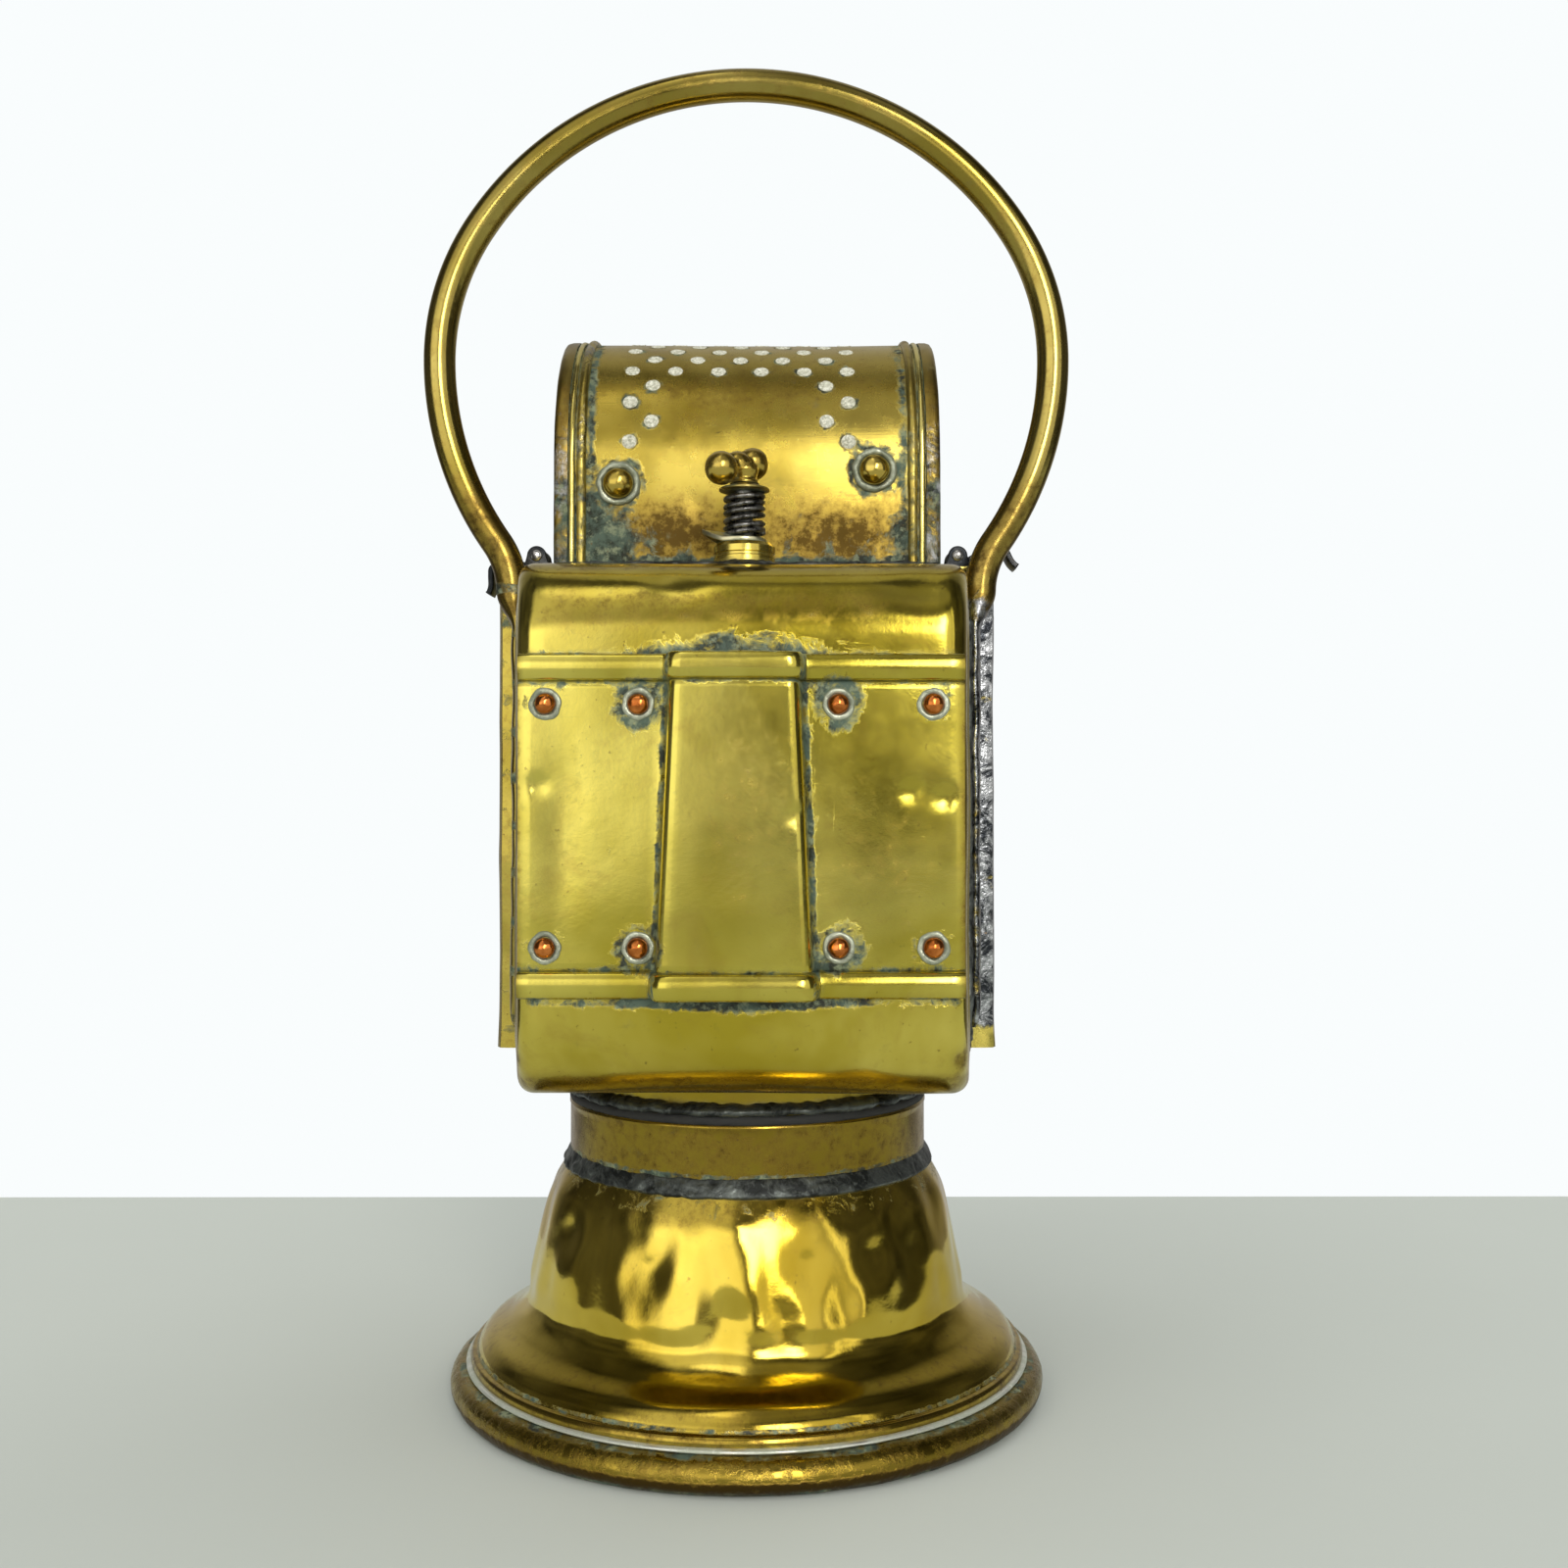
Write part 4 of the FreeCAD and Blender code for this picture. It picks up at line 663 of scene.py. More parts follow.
def build_tank():
    profile = tank_profile()
    at, out = profile[:, :2], profile[:, 2:]
    radius = 2.6 + 1.9 * np.clip(np.abs(out[:, 0]) * 1.6, 0, 1)
    across = np.linspace(-1, 1, 61)

    def column(x, drop):
        """Points at x on the profile sunk by drop towards the inside of the tank."""
        return np.stack([x, at[:, 0] - out[:, 0] * drop, at[:, 1] - out[:, 1] * drop], -1)

    spine = np.stack([np.clip(at[:, 0] + 16, FACE + 20, BACK), np.full(len(at), TANK_MID)], -1)
    wide = tank_width(at[:, 0])
    bend = np.linspace(0, math.pi / 2, 9)

    def side(s):
        strips = [column(s * (wide - radius + radius * math.sin(a)), radius * (1 - math.cos(a))) for a in bend[1:]]
        rim = strips[-1][:, 1:]
        for t in (0.04, 0.12, 0.22, 0.34, 0.46, 0.58, 0.7, 0.82, 0.92, 1.0):
            inner = rim + (spine - rim) * t
            strips.append(np.column_stack([s * tank_width(inner[:, 0]), inner]))
        return strips

    columns = side(-1)[::-1]
    columns += [column(a * (wide - radius), np.zeros(len(at))) for a in across]
    columns += side(1)
    points = np.stack(columns, 1)
    du, dv = np.gradient(points, axis=0), np.gradient(points, axis=1)
    spots = [(-36, -54, 148), (30, -50, 150), (-12, -50, 152), (40, -40, 120), (-40, -35, 95), (20, -50, 66),
             (-28, -52, 68)]
    push = ripple(points, 24.0, 0.28, 11) + ripple(points, 9.0, 0.04, 12) - bowls(points, spots, 5.0, 0.35) - 0.12
    push -= bowls(points, [(x, -52, z) for x, z in PRESSED], 1.8, 0.8)
    plate = (np.abs(points[..., 0]) < 38) & (points[..., 1] < -53) & (np.abs(points[..., 2] - 110.3) < 30)
    push = np.where(plate, np.minimum(push, 0.0), push)
    points = points + unit(np.cross(dv, du)) * push[..., None]
    faces = grid_faces(*points.shape[:2])[:, ::-1]
    tank = make("tank", points.reshape(-1, 3), faces, M["tank"], "lamp_house", ["tank_pan"])

    def laid(x, y, z):
        front = y < -42
        over = 0.72 * spot(x, z, (-1, 141.2), (14, 2.0)) + 0.5 * band(z, 138.6, 139.8, 0.9) * band(x, -37, 30, 4)
        under = 0.7 * spot(x, z, (-2, 80.0), (13, 1.6)) + 0.55 * band(z, 80.3, 82.0, 0.6) * band(np.abs(x), 0, 36, 2)
        # Painted shade, laid with the tarnish: darker spots in the two pressed corners, a band across the upper roll at
        # z 145 to 149 that stands for a dark reflection, and a band along the bottom edge that stands for the shade
        # under the tank.
        shade = 0.7 * sum(spot(x, z, corner, (1.6, 1.8)) for corner in PRESSED)
        brown = 0.42 * band(z, 145, 149, 3) * band(np.abs(x + 4), 0, 27, 8) + 0.5 * band(z, 60, 67.4, 1.5)
        brown += 0.42 * band(z, 154.5, 160, 1.2)
        brown += 0.5 * band(np.abs(x), 38.0, 50, 0.8) * band(y, -60, -51, 2)
        return front * (over + under), brown + shade, 0
    lay_stains_and_shade(tank, laid)


# ---- bracket on the tank -------------------------------------------------------------------------
PLATE_LOW, PLATE_HIGH, PLATE_HALF = 81.5, 139.1, 37.3
SOCKET_X = -1.1
RIVETS = [(x, z) for x in (-32.7, -17.2, 16.2, 32.0) for z in (90.0, 130.6)]


def socket_half(z):
    """Half width of the tapered socket at a height."""
    return 13.4 - 2.5 * (z - PLATE_LOW) / (PLATE_HIGH - PLATE_LOW)


def bracket_section(half):
    """Plan of the bracket at one height, as (x, distance out of the tank's face) of its outside."""
    low, high = SOCKET_X - half, SOCKET_X + half
    line = [(-PLATE_HALF, 1.0), (low - 0.1, 1.0), (low + 0.7, 6.0), (high - 0.7, 6.0), (high + 0.1, 1.0),
            (PLATE_HALF, 1.0)]
    out = [np.array(line[0])]
    for before, here, after, radius in zip(line, line[1:], line[2:], (1.1, 1.7, 1.7, 1.1)):
        out += eased_corner(*(np.array(p, float) for p in (before, here, after)), radius, 9)
    out.append(np.array(line[-1], float))
    flat = []
    for k, (a, b) in enumerate(zip(out, out[1:])):
        steps = {0: 20, 9: 4, 18: 22, 27: 4, 36: 20}.get(k, 1)
        flat += [a + (b - a) * i / steps for i in range(steps)]
    return np.array(flat + [out[-1]])


def build_bracket():
    hem, swell = 4.6, 1.1
    z = np.concatenate([PLATE_LOW + hem * (1 - np.cos(np.linspace(0, math.pi, 15))) / 2,
                        np.linspace(PLATE_LOW + hem + 0.35, PLATE_HIGH - hem - 0.35, 46),
                        PLATE_HIGH - hem * (1 + np.cos(np.linspace(0, math.pi, 15))) / 2])
    outer, inner = [], []
    for height in z:
        line = bracket_section(socket_half(height))
        ahead = np.gradient(line, axis=0)
        out = unit(np.stack([-ahead[:, 1], ahead[:, 0]], -1))
        away = min(abs(height - PLATE_LOW - hem / 2), abs(height - PLATE_HIGH + hem / 2)) / (hem / 2)
        rise = swell * math.sqrt(max(1 - away ** 2, 0.0))
        rise -= 0.35 * max(away - 0.9, 0) / 0.1 if away < 1.0001 else 0
        flat = np.stack([line[:, 0] + out[:, 0] * rise, FACE - line[:, 1] - out[:, 1] * rise,
                         np.full(len(line), height)], -1)
        edge = np.clip((np.abs(line[:, 0]) - PLATE_HALF + 0.9) / 0.9, 0, 1)
        flat[:, 1] += 0.35 * edge ** 2
        back = line - out
        outer.append(flat)
        inner.append(np.stack([back[:, 0], FACE - np.maximum(back[:, 1], 0), np.full(len(line), height)], -1))
    outer, inner = np.array(outer), np.array(inner)
    knocks = [(9.0, -59, 112), (28.5, -55, 116), (34, -55, 115), (12, -58, 99), (-34, -55, 117), (30, -55, 88)]
    push = ripple(outer, (22.0, 22.0, 30.0), 0.22, 14) + ripple(outer, 8.0, 0.025, 15)
    push = push - bowls(outer, knocks, 1.7, 0.4) - 0.1
    push -= 0.25 * spot(outer[..., 0], outer[..., 2], (-30, 108), (3.5, 16)) * (np.abs(outer[..., 1] + 55) < 0.6)
    outer[..., 1] -= push
    ends = np.isin(np.arange(len(z)), [0, 1, len(z) - 2, len(z) - 1])
    outer[..., 2] += ripple(outer, 11.0, 0.25, 16) * ends[:, None]
    outer[..., 1] = np.maximum(outer[..., 1], -61.0)
    rows, cols = outer.shape[:2]
    count = rows * cols
    faces = [tuple(f) for f in grid_faces(rows, cols)] + [tuple(f[::-1] + count) for f in grid_faces(rows, cols)]
    loop = list(range(cols)) + [r * cols + cols - 1 for r in range(1, rows)]
    loop += [(rows - 1) * cols + c for c in range(cols - 2, -1, -1)] + [r * cols for r in range(rows - 2, 0, -1)]
    faces += [(q, p, p + count, q + count) for p, q in zip(loop, loop[1:] + loop[:1])]
    points = np.concatenate([outer.reshape(-1, 3), inner.reshape(-1, 3)])
    bracket = make("bracket", points, faces, M["plate"], "lamp_house", ["bracket_plate"], sharp=55)

    def laid(x, y, z):
        foot = np.abs(x - SOCKET_X) - socket_half(z)
        beside = 0.46 * band(foot, -0.1, 0.7, 0.8) + 0.12 * band(foot, 0, 3, 2)
        crease = 0.52 * (band(z, 133.8, 134.4, 0.5) + band(z, 86.1, 86.6, 0.45))
        crease += 0.5 * (band(z, 81, 81.7, 0.4) + band(z, 138.9, 140, 0.4))
        halo = 0
        for rx, rz in RIVETS:
            strength, width = (0.40, 1.0) if abs(rx) > 25 else (0.60, 2.2)
            halo = halo + strength * np.exp(-((np.hypot(x - rx, z - rz) - 3.2) / width) ** 2)
        haze = 0.30 * spot(x, z, (-21, 112), (2.5, 14)) + 0.28 * spot(x, z, (-26, 121), (2.0, 9))
        haze += 0.2 * spot(x, z, (-13, 131), (4, 3))
        # Painted shade, laid with the tarnish: the two broad brown spots on the socket and the right-hand plate stand
        # for darker reflections there.
        brown = 0.34 * spot(x, z, (24, 104), (12, 20)) + 0.36 * spot(x, z, (0, 114), (11, 24))
        brown += 0.5 * band(np.abs(x), 36.6, 40, 0.5)
        return np.maximum.reduce([beside, crease, halo, haze]), brown, 0
    lay_stains_and_shade(bracket, laid)
    dome_set("bracket_rivets_worn", [((x, FACE - 1.15, z), (0, -1, 0)) for x, z in RIVETS], 1.75, 1.45, M["copper"],
             "lamp_house", ["bracket_rivets"], 0.12)
    seat_set("bracket_rivet_seats", [((x, FACE - 0.95, z), (0, -1, 0)) for x, z in RIVETS], 1.75, 2.75, 0.28, M["ring"],
             "lamp_house", ["rivet_seats"], 0.22)


def frame_of(direction):
    out = Vector(direction)
    side = out.orthogonal().normalized()
    return np.array(side), np.array(out.cross(side)), np.array(out)


def turned_set(name, spots, profile, push, mat, body, nodes):
    """The same small turned shape at several spots, each roughened differently."""
    points, faces, sides = [], [], 44
    turn = np.linspace(0, 2 * math.pi, sides, endpoint=False)
    for number, (centre, direction) in enumerate(spots):
        u, v, w = frame_of(direction)
        r, h = profile[:, :1], profile[:, 1:]
        shape = (r[..., None] * (np.cos(turn)[None, :, None] * u + np.sin(turn)[None, :, None] * v)
                 + h[..., None] * w + np.array(centre))
        grow = push(shape, number)
        shape = shape + unit(shape - np.array(centre)) * grow[..., None]
        faces += [tuple(f + len(points)) for f in grid_faces(len(profile), sides, False, True)]
        points += shape.reshape(-1, 3).tolist()
    return make(name, points, faces, mat, body, nodes, sharp=60)


def dome_set(name, spots, radius, height, mat, body, nodes, rough):
    a = np.linspace(0, math.pi / 2, 14)
    profile = np.stack([radius * np.cos(a), height * np.sin(a)], -1)
    profile = np.concatenate([[[radius, -0.4]], profile])
    profile[-1, 0] = 0.001
    return turned_set(name, spots, profile, lambda p, n: ripple(p, radius * 0.8, rough, 20 + n), mat, body, nodes)


def seat_set(name, spots, inner, outer, height, mat, body, nodes, rough):
    a = np.linspace(0, math.pi, 12)
    middle, half = (inner + outer) / 2, (outer - inner) / 2
    profile = np.stack([middle + half * np.cos(a), height * np.sin(a)], -1)
    return turned_set(name, spots, profile, lambda p, n: ripple(p, 1.3, rough, 40 + n), mat, body, nodes)


# ---- handle --------------------------------------------------------------------------------------
def arc_points(centre, radius, start, end, steps):
    t = np.linspace(start, end, steps)
    return np.stack([centre[0] + radius * np.cos(t), centre[1] + radius * np.sin(t)], -1)


HANDLE_Y, HANDLE_R = -17.0, 3.0


def handle_line():
    """Right half of the loop's centreline as (x, z), from the crown down to the heel."""
    wide, wide_z, drop_turn = 58.65, 199.0, math.radians(35)
    top_r, side_r, low_r, heel_r = 61.0, 46.5, 61.0, 16.0
    side, low = (wide - side_r, wide_z), (wide - low_r, wide_z)
    drop = math.sqrt((top_r - side_r) ** 2 - side[0] ** 2)
    meet = math.atan2(drop, side[0])
    heel = (low[0] + (low_r + heel_r) * math.cos(drop_turn), low[1] - (low_r + heel_r) * math.sin(drop_turn))
    return np.concatenate([arc_points((0, wide_z - drop), top_r, math.pi / 2, meet, 40)[:-1],
                           arc_points(side, side_r, meet, 0, 40)[:-1],
                           arc_points(low, low_r, 0, -drop_turn, 34)[:-1],
                           arc_points(heel, heel_r, math.pi - drop_turn, math.pi, 16)])


def build_handle():
    half, leg_x, leg_top, leg_low = handle_line(), 43.4, 147.0, 72.0
    heel = half[-1]
    blend = np.linspace(0, 1, 14)[1:]
    ease = blend ** 2 * (3 - 2 * blend)
    neck = np.stack([heel[0] + (leg_x - heel[0]) * ease, heel[1] + (leg_top - heel[1]) * blend], -1)
    leg = np.stack([np.full(60, leg_x), np.linspace(leg_top, leg_low, 61)[1:]], -1)
    right = np.concatenate([half, neck, leg])
    widths = np.concatenate([np.tile([HANDLE_R, HANDLE_R], (len(half), 1)),
                             np.stack([HANDLE_R - 1.7 * ease, HANDLE_R + 1.4 * ease], -1),
                             np.tile([1.3, 4.4], (len(leg), 1))])
    tip = np.linspace(0, 1, 5)
    widths[-5:] *= np.sqrt(1 - 0.8 * tip ** 2)[:, None]
    line = np.concatenate([(right * [-1, 1])[::-1], right[1:]])
    widths = np.concatenate([widths[::-1], widths[1:]])
    path = line_of(line[:, 0], HANDLE_Y, line[:, 1])
    piece = tube("handle", path, (0, 1, 0), widths, M["tube"], "lamp_house", ["carry_handle"], 48)
    for point in piece.data.vertices:
        at = np.array(point.co) / MM
        flat = min(max((160 - at[2]) / 14, 0), 1)
        pull = ripple(at, 7.0, 0.35 * flat, 50) + ripple(at, 22.0, 0.06, 51)
        point.co.y += pull * 0.6 * MM * flat
        point.co.x += (pull - 0.18) * MM * (1 if at[0] > 0 else -1) * flat
    lay_stains_and_shade(piece, lambda x, y, z: (0.6 * band(z, 60, 158, 3) * (x < 0) * band(np.sin(z * 0.7), 0.75, 1, 0.2),
                                  0.3 + 0.25 * (y > HANDLE_Y) + 0.3 * band(z, 150, 172, 5),
                                  0.62 * (x > 0) * band(z, 60, 152, 4)))
    for s, side in SIDES:
        for number, y in enumerate((-21.3, -13.4)):
            line = line_of(s * (tank_width(y) + 0.5), y, np.linspace(69.5, 149.0, 150))
            lump_tube(f"leg_solder_{side}_{number}", line, 0.85, 0.4, 60 + number + s)


def lump_tube(name, line, radius, rough, seed, nodes=()):
    """A run of solder along a line, swelling and shrinking as it was laid."""
    swell = 1 + rough * np.array([ripple(p, 3.2, 1.0, seed) + ripple(p, 1.1, 0.5, seed + 1) for p in line])
    swell[[0, -1]] *= 0.3
    return tube(name, line, (0, 1, 0), np.stack([radius * swell, radius * swell], -1), M["solder"], "lamp_house",
                nodes, 14)


# ---- lamp house ----------------------------------------------------------------------------------
CASE_HALF, CASE_BACK, CASE_FRONT, CASE_LOW, CASE_HIGH = 48.2, -12.4, 53.0, 67.2, 159.3
BURNER_Y = 22.0


def build_case():
    """The two sides and the back are one folded sheet; u runs round it, from the left front edge to the right."""
    corner, depth = 1.6, CASE_FRONT - 0.9 - CASE_BACK
    bend = corner * math.pi / 2
    run = depth - corner
    back = 2 * (CASE_HALF - corner)

    def shape(u, v):
        u, v = np.asarray(u, float), np.asarray(v, float)
        s = np.where(u < 0, -1.0, 1.0)
        a = np.abs(u)
        t = np.clip((a - back / 2) / corner, 0, math.pi / 2)
        past = np.maximum(a - back / 2 - bend, 0)
        x = np.minimum(a, back / 2) + corner * np.sin(t)
        y = CASE_BACK + corner * (1 - np.cos(t)) + past
        p = np.stack([s * x, y, v], -1)
        quiet = np.clip(np.minimum(np.minimum(v - CASE_LOW, CASE_HIGH - v) / 6, (CASE_FRONT - 1 - y) / 6), 0, 1)
        push = (ripple(p, 19.0, 0.30, 70) + ripple(p, 6.0, 0.07, 71) - 0.2) * quiet
        normal = np.stack([s * np.sin(t), -np.cos(t), np.zeros_like(t)], -1)
        return p + normal * push[..., None]

    end = back / 2 + bend + run
    holes = [(s * (back / 2 + bend + (y - CASE_BACK - corner)), 78.0, 1.6) for s in (-1, 1) for y in range(0, 49, 8)]
    sheet = pierced("case_sheet", (-end, end), (CASE_LOW, CASE_HIGH), 1.7, holes, shape, 0.9, M["case"], "lamp_house",
                    ["case_side_left", "case_side_right", "case_rear_wall"])

    def laid(x, y, z):
        flecks = 0.4 * (x < 0) * band(y, -14, -11, 1) * band(np.sin(z * 0.9), 0.6, 1, 0.3)
        return (0.45 * band(z, 150, 160, 3) + flecks, 0.3 * band(y, -14, -10, 2) * (x < 0),
                0.85 * (x > 0) * band(y, -14, -10.5, 1) * band(z, 72, 160, 2))
    lay_stains_and_shade(sheet, laid)
    apron = [(-41, TANK_LOW), (41, TANK_LOW), (41, CASE_LOW + 1), (-41, CASE_LOW + 1)]
    slab("tank_apron", corner_closed(apron, 0.8), CASE_BACK, CASE_BACK + 0.9, 0.2, "y", M["case"], "lamp_house")
    for s, side in SIDES:
        line = line_of(s * 42.3, CASE_BACK - 0.4, np.linspace(66.0, 155.0, 170))
        lump_tube(f"tank_seam_{side}", line, 0.8, 0.35, 80 + s, ["tank_solder"] if s < 0 else ())
    line = line_of(np.linspace(-41.5, 41.5, 160), CASE_BACK - 0.4, TANK_HIGH + 0.2)
    lump_tube("tank_seam_top", line, 0.85, 0.35, 83)
    for node, mat in (("case_floor", "smoked"), ("front_frame", "case"), ("gas_filter", "felt"),
                      ("drip_tube", "turned"), ("gas_pipe", "turned"), ("valve_seat", "turned"), ("snap_spring", "steel"),
                      ("reflector_stud", "smoked"), ("hinge_fixed", "turned"), ("hinge_pins", "bright")):
        paint(node, M[mat])
    bowl = smooth_line([(r, 3.0 + r ** 2 / 72.0) for r in (36.0 * k / 8 for k in range(9))], 60)
    bowl[0, 0] = 0.001
    lip = [(36.6, 21.0), (37.3, 21.0), (37.5, 20.7), (37.3, 20.3), (36.3, 20.3)]
    rear = bowl[::-1] + [0, -0.7]
    lathe("reflector_bowl", np.concatenate([bowl, lip, rear]), M["silver"], "lamp_house",
          ["reflector"], 200, None, (0, 0), "y", MID_Z)
    nut = [(4.6 * math.cos(math.pi / 3 * k), BURNER_Y + 4.6 * math.sin(math.pi / 3 * k)) for k in range(6)]
    slab("burner_nut", corner_closed(nut, 0.3), 97.0, 102.0, 0.4, "z", M["turned"], "lamp_house",
         ["burner_body"])
    stem = [(1.2, 102.0), (3.4, 101.9), (3.4, 105.5), (3.0, 106.0), (1.2, 106.0)]
    lathe("burner_stem", dense(np.array(stem), 0.5), M["turned"], "lamp_house", (), 48, None,
          (0, BURNER_Y))
    tip = [(0.6, 106.0), (2.6, 106.0), (2.6, 108.6), (2.2, 109.5), (1.4, 109.9), (0.01, 110.0)]
    lathe("tip_stem", dense(np.array(tip), 0.4), M["stone"], "lamp_house", ["burner_tip"], 48, None,
          (0, BURNER_Y))
    lean = math.radians(38)
    steps = np.array([0, 2, 4, 5.6, 6.4, 7.2, 8.0, 8.8, 9.4, 9.8])
    width = np.array([1.6, 1.5, 1.45, 1.5, 1.68, 1.86, 1.9, 1.72, 1.3, 0.45])
    for s, side in SIDES:
        out = np.array([s * math.sin(lean), 0, math.cos(lean)])
        path = np.array([0, BURNER_Y, 109.0]) + out * steps[:, None]
        tube(f"tip_arm_{side}", path, (0, 1, 0), np.stack([width, width], -1), M["stone"],
             "lamp_house", (), 28)


# ---- water valve ---------------------------------------------------------------------------------
VALVE_Y, COLLAR_TOP = -33.0, 161.0


def build_valve():
    centre = (0, VALVE_Y)
    weld = smooth_line([(4.6, 158.0), (6.6, 157.2), (7.7, 156.8), (8.4, 156.2), (8.2, 155.5)], 16)
    lathe("valve_solder", weld, M["solder"], "lamp_house", (), 120, lumpy(1.8, 0.35, 90), centre,
          sharp=80)
    collar = [(5.6, 155.7), (5.6, 158.4), (5.35, 158.6), (5.35, 158.95), (5.6, 159.15), (5.6, 160.3),
              (5.0, COLLAR_TOP), (1.75, COLLAR_TOP)]
    lathe("valve_collar_turned", dense(np.array(collar), 0.5), M["turned"], "lamp_house",
          ["valve_collar"], 96, worn(2.5, 0.05, 91), centre, sharp=25)
    leaf = [(-7.6, -0.3), (-6.7, 0.8), (-5.2, 2.0), (-3.4, 3.1), (-1.4, 3.9), (0.6, 4.0), (2.4, 3.3), (3.6, 1.9),
            (4.0, 0.0), (3.6, -1.9), (2.4, -3.3), (0.6, -4.0), (-1.4, -4.0), (-3.6, -3.5), (-5.4, -2.5), (-6.8, -1.4)]
    leaf = smooth_line(leaf + leaf[:1], 96)[:-1] + [0, VALVE_Y]
    index = slab("index_leaf", leaf, COLLAR_TOP, COLLAR_TOP + 0.9, 0.25, "z", M["index"], "lamp_house",
                 ["valve_index"], 0.1)
    for point in index.data.vertices:
        point.co.z += 1.9 * MM * np.clip((-point.co.x / MM - 3.6) / 4, 0, 1) ** 1.4
    turn = np.linspace(0, 2 * math.pi * 6.2, 400)
    share = np.clip((turn - math.pi * 1.2) / (2 * math.pi * 5), 0, 1)
    slant = 0.38 * np.sin(turn + 0.6) + 0.15 * np.sin(turn * 0.37)
    coil = np.stack([3.3 * np.cos(turn), VALVE_Y + 3.3 * np.sin(turn), 162.9 + 6.5 * share + slant], -1)
    spring("spring", coil, 0.55)
    cap = [(1.75, 170.45), (3.6, 170.4), (4.5, 170.6), (4.62, 170.8), (4.6, 171.0), (4.3, 171.15), (3.6, 171.2),
           (3.0, 171.5), (2.6, 171.78), (1.75, 171.8)]
    lathe("cap_dished", smooth_line(cap, 60), M["dished"], "valve_cap", ["spring_cap"], 96,
          worn(3.0, 0.05, 92, 0.6), centre, sharp=60)
    tilt, turn_to = math.radians(14.0), math.radians(64.5)
    along = np.array([math.cos(turn_to) * math.cos(tilt), math.sin(turn_to) * math.cos(tilt), math.sin(tilt)])
    steps = np.linspace(-1, 1, 121)
    reach = 9.35 * np.sin(steps * math.pi / 2)
    width = np.array([tee_width(abs(r)) for r in reach])
    path = np.array([-1.3, VALVE_Y, 175.2]) + along * reach[:, None]
    tube("tee", path, unit(np.cross(along, (0, 0, 1))), np.stack([width, width], -1), M["tee"], "valve_stem",
         ["tee_handle"], 48)
    stem = [(1.0, 171.9), (2.5, 171.9), (2.62, 172.15), (2.5, 172.5), (2.2, 172.8), (2.35, 173.6), (2.6, 174.4),
            (2.3, 175.4)]
    lathe("tee_stem", smooth_line(stem, 40), M["tee"], "valve_stem", (), 64, None, centre)
    paint("valve_spindle", M["bright"])


def tee_width(r):
    """Radius of the tee along its arm: a hub, a waist, and a ball at each end."""
    hub = math.sqrt(max(2.7 ** 2 - r ** 2, 0.0))
    ball = math.sqrt(max(2.98 ** 2 - (r - 6.4) ** 2, 0.0))
    waist = 1.55 if r < 6.4 else 0.0
    return max(hub, ball, waist, 0.02)


def spring(name, coil, wire):
    """The valve's spring, between the collar and its cap."""
    ahead = unit(np.gradient(coil, axis=0))
    side = unit(np.cross(ahead, (0, 0, 1)))
    up = np.cross(side, ahead)
    turn = np.linspace(0, 2 * math.pi, 14, endpoint=False)
    rings = coil[:, None] + wire * (side[:, None] * np.cos(turn)[:, None] + up[:, None] * np.sin(turn)[:, None])
    rings += ripple(rings, 2.0, 0.05, 94)[..., None] * side[:, None]
    last = (len(coil) - 1) * 14
    faces = [tuple(f) for f in grid_faces(len(coil), 14, False, True)]
    faces += [tuple(range(14))[::-1], tuple(range(last, last + 14))]
    stretch = ("lamp_house", "valve_cap", (0, VALVE_Y * MM, 162.6 * MM), (0, VALVE_Y * MM, 170.0 * MM))
    return make(name, rings.reshape(-1, 3), faces, M["coil"], stretch, ["valve_spring"])


# ---- roof and chimney ----------------------------------------------------------------------------
HOOD_R, HOOD_Y, SPRING_Z, ROOF_Z, HOOD_HALF = 30.6, 20.6, 181.1, 159.35, 37.9
HOOD_RIVETS = [(-25.2, 176.8), (24.9, 179.5)]
QUARTER = HOOD_R * math.pi / 2
WALL_H = SPRING_Z - ROOF_Z - 1.0


def hood_shape(u, v, grow=0.0, calm=False):
    """Outside of the chimney: u along X, v from the rear foot over the crown to the front foot."""
    u, v = np.asarray(u, float), np.asarray(v, float)
    turn = np.clip(v / HOOD_R, -math.pi / 2, math.pi / 2)
    below = np.maximum(np.abs(v) - QUARTER, 0)
    radius = HOOD_R + grow
    p = np.stack([u, HOOD_Y + radius * np.sin(turn), SPRING_Z + radius * np.cos(turn) - below], -1)
    if calm:
        return p
    normal = np.stack([np.zeros_like(turn), np.sin(turn), np.cos(turn)], -1)
    spots = [(-9, -10, 172), (17, -10, 166), (-20, -8, 190)]
    push = ripple(p, 18.0, 0.10, 100) + ripple(p, 32.0, 0.25, 101) - bowls(p, spots, 3.0, 0.2) - 0.1
    return p + normal * push[..., None]


def hood_holes():
    spots = []
    for row in range(11):
        columns = [i * 8.6 for i in (-2, -1, 0, 1, 2)] if row % 2 else [(i + 0.5) * 8.6 for i in range(-3, 3)]
        columns = columns if row <= 6 else [columns[0], columns[-1]]
        spots += [(x - 1.6, s * row * 4.4) for x in columns for s in ((-1, 1) if row else (1,))]
    return spots


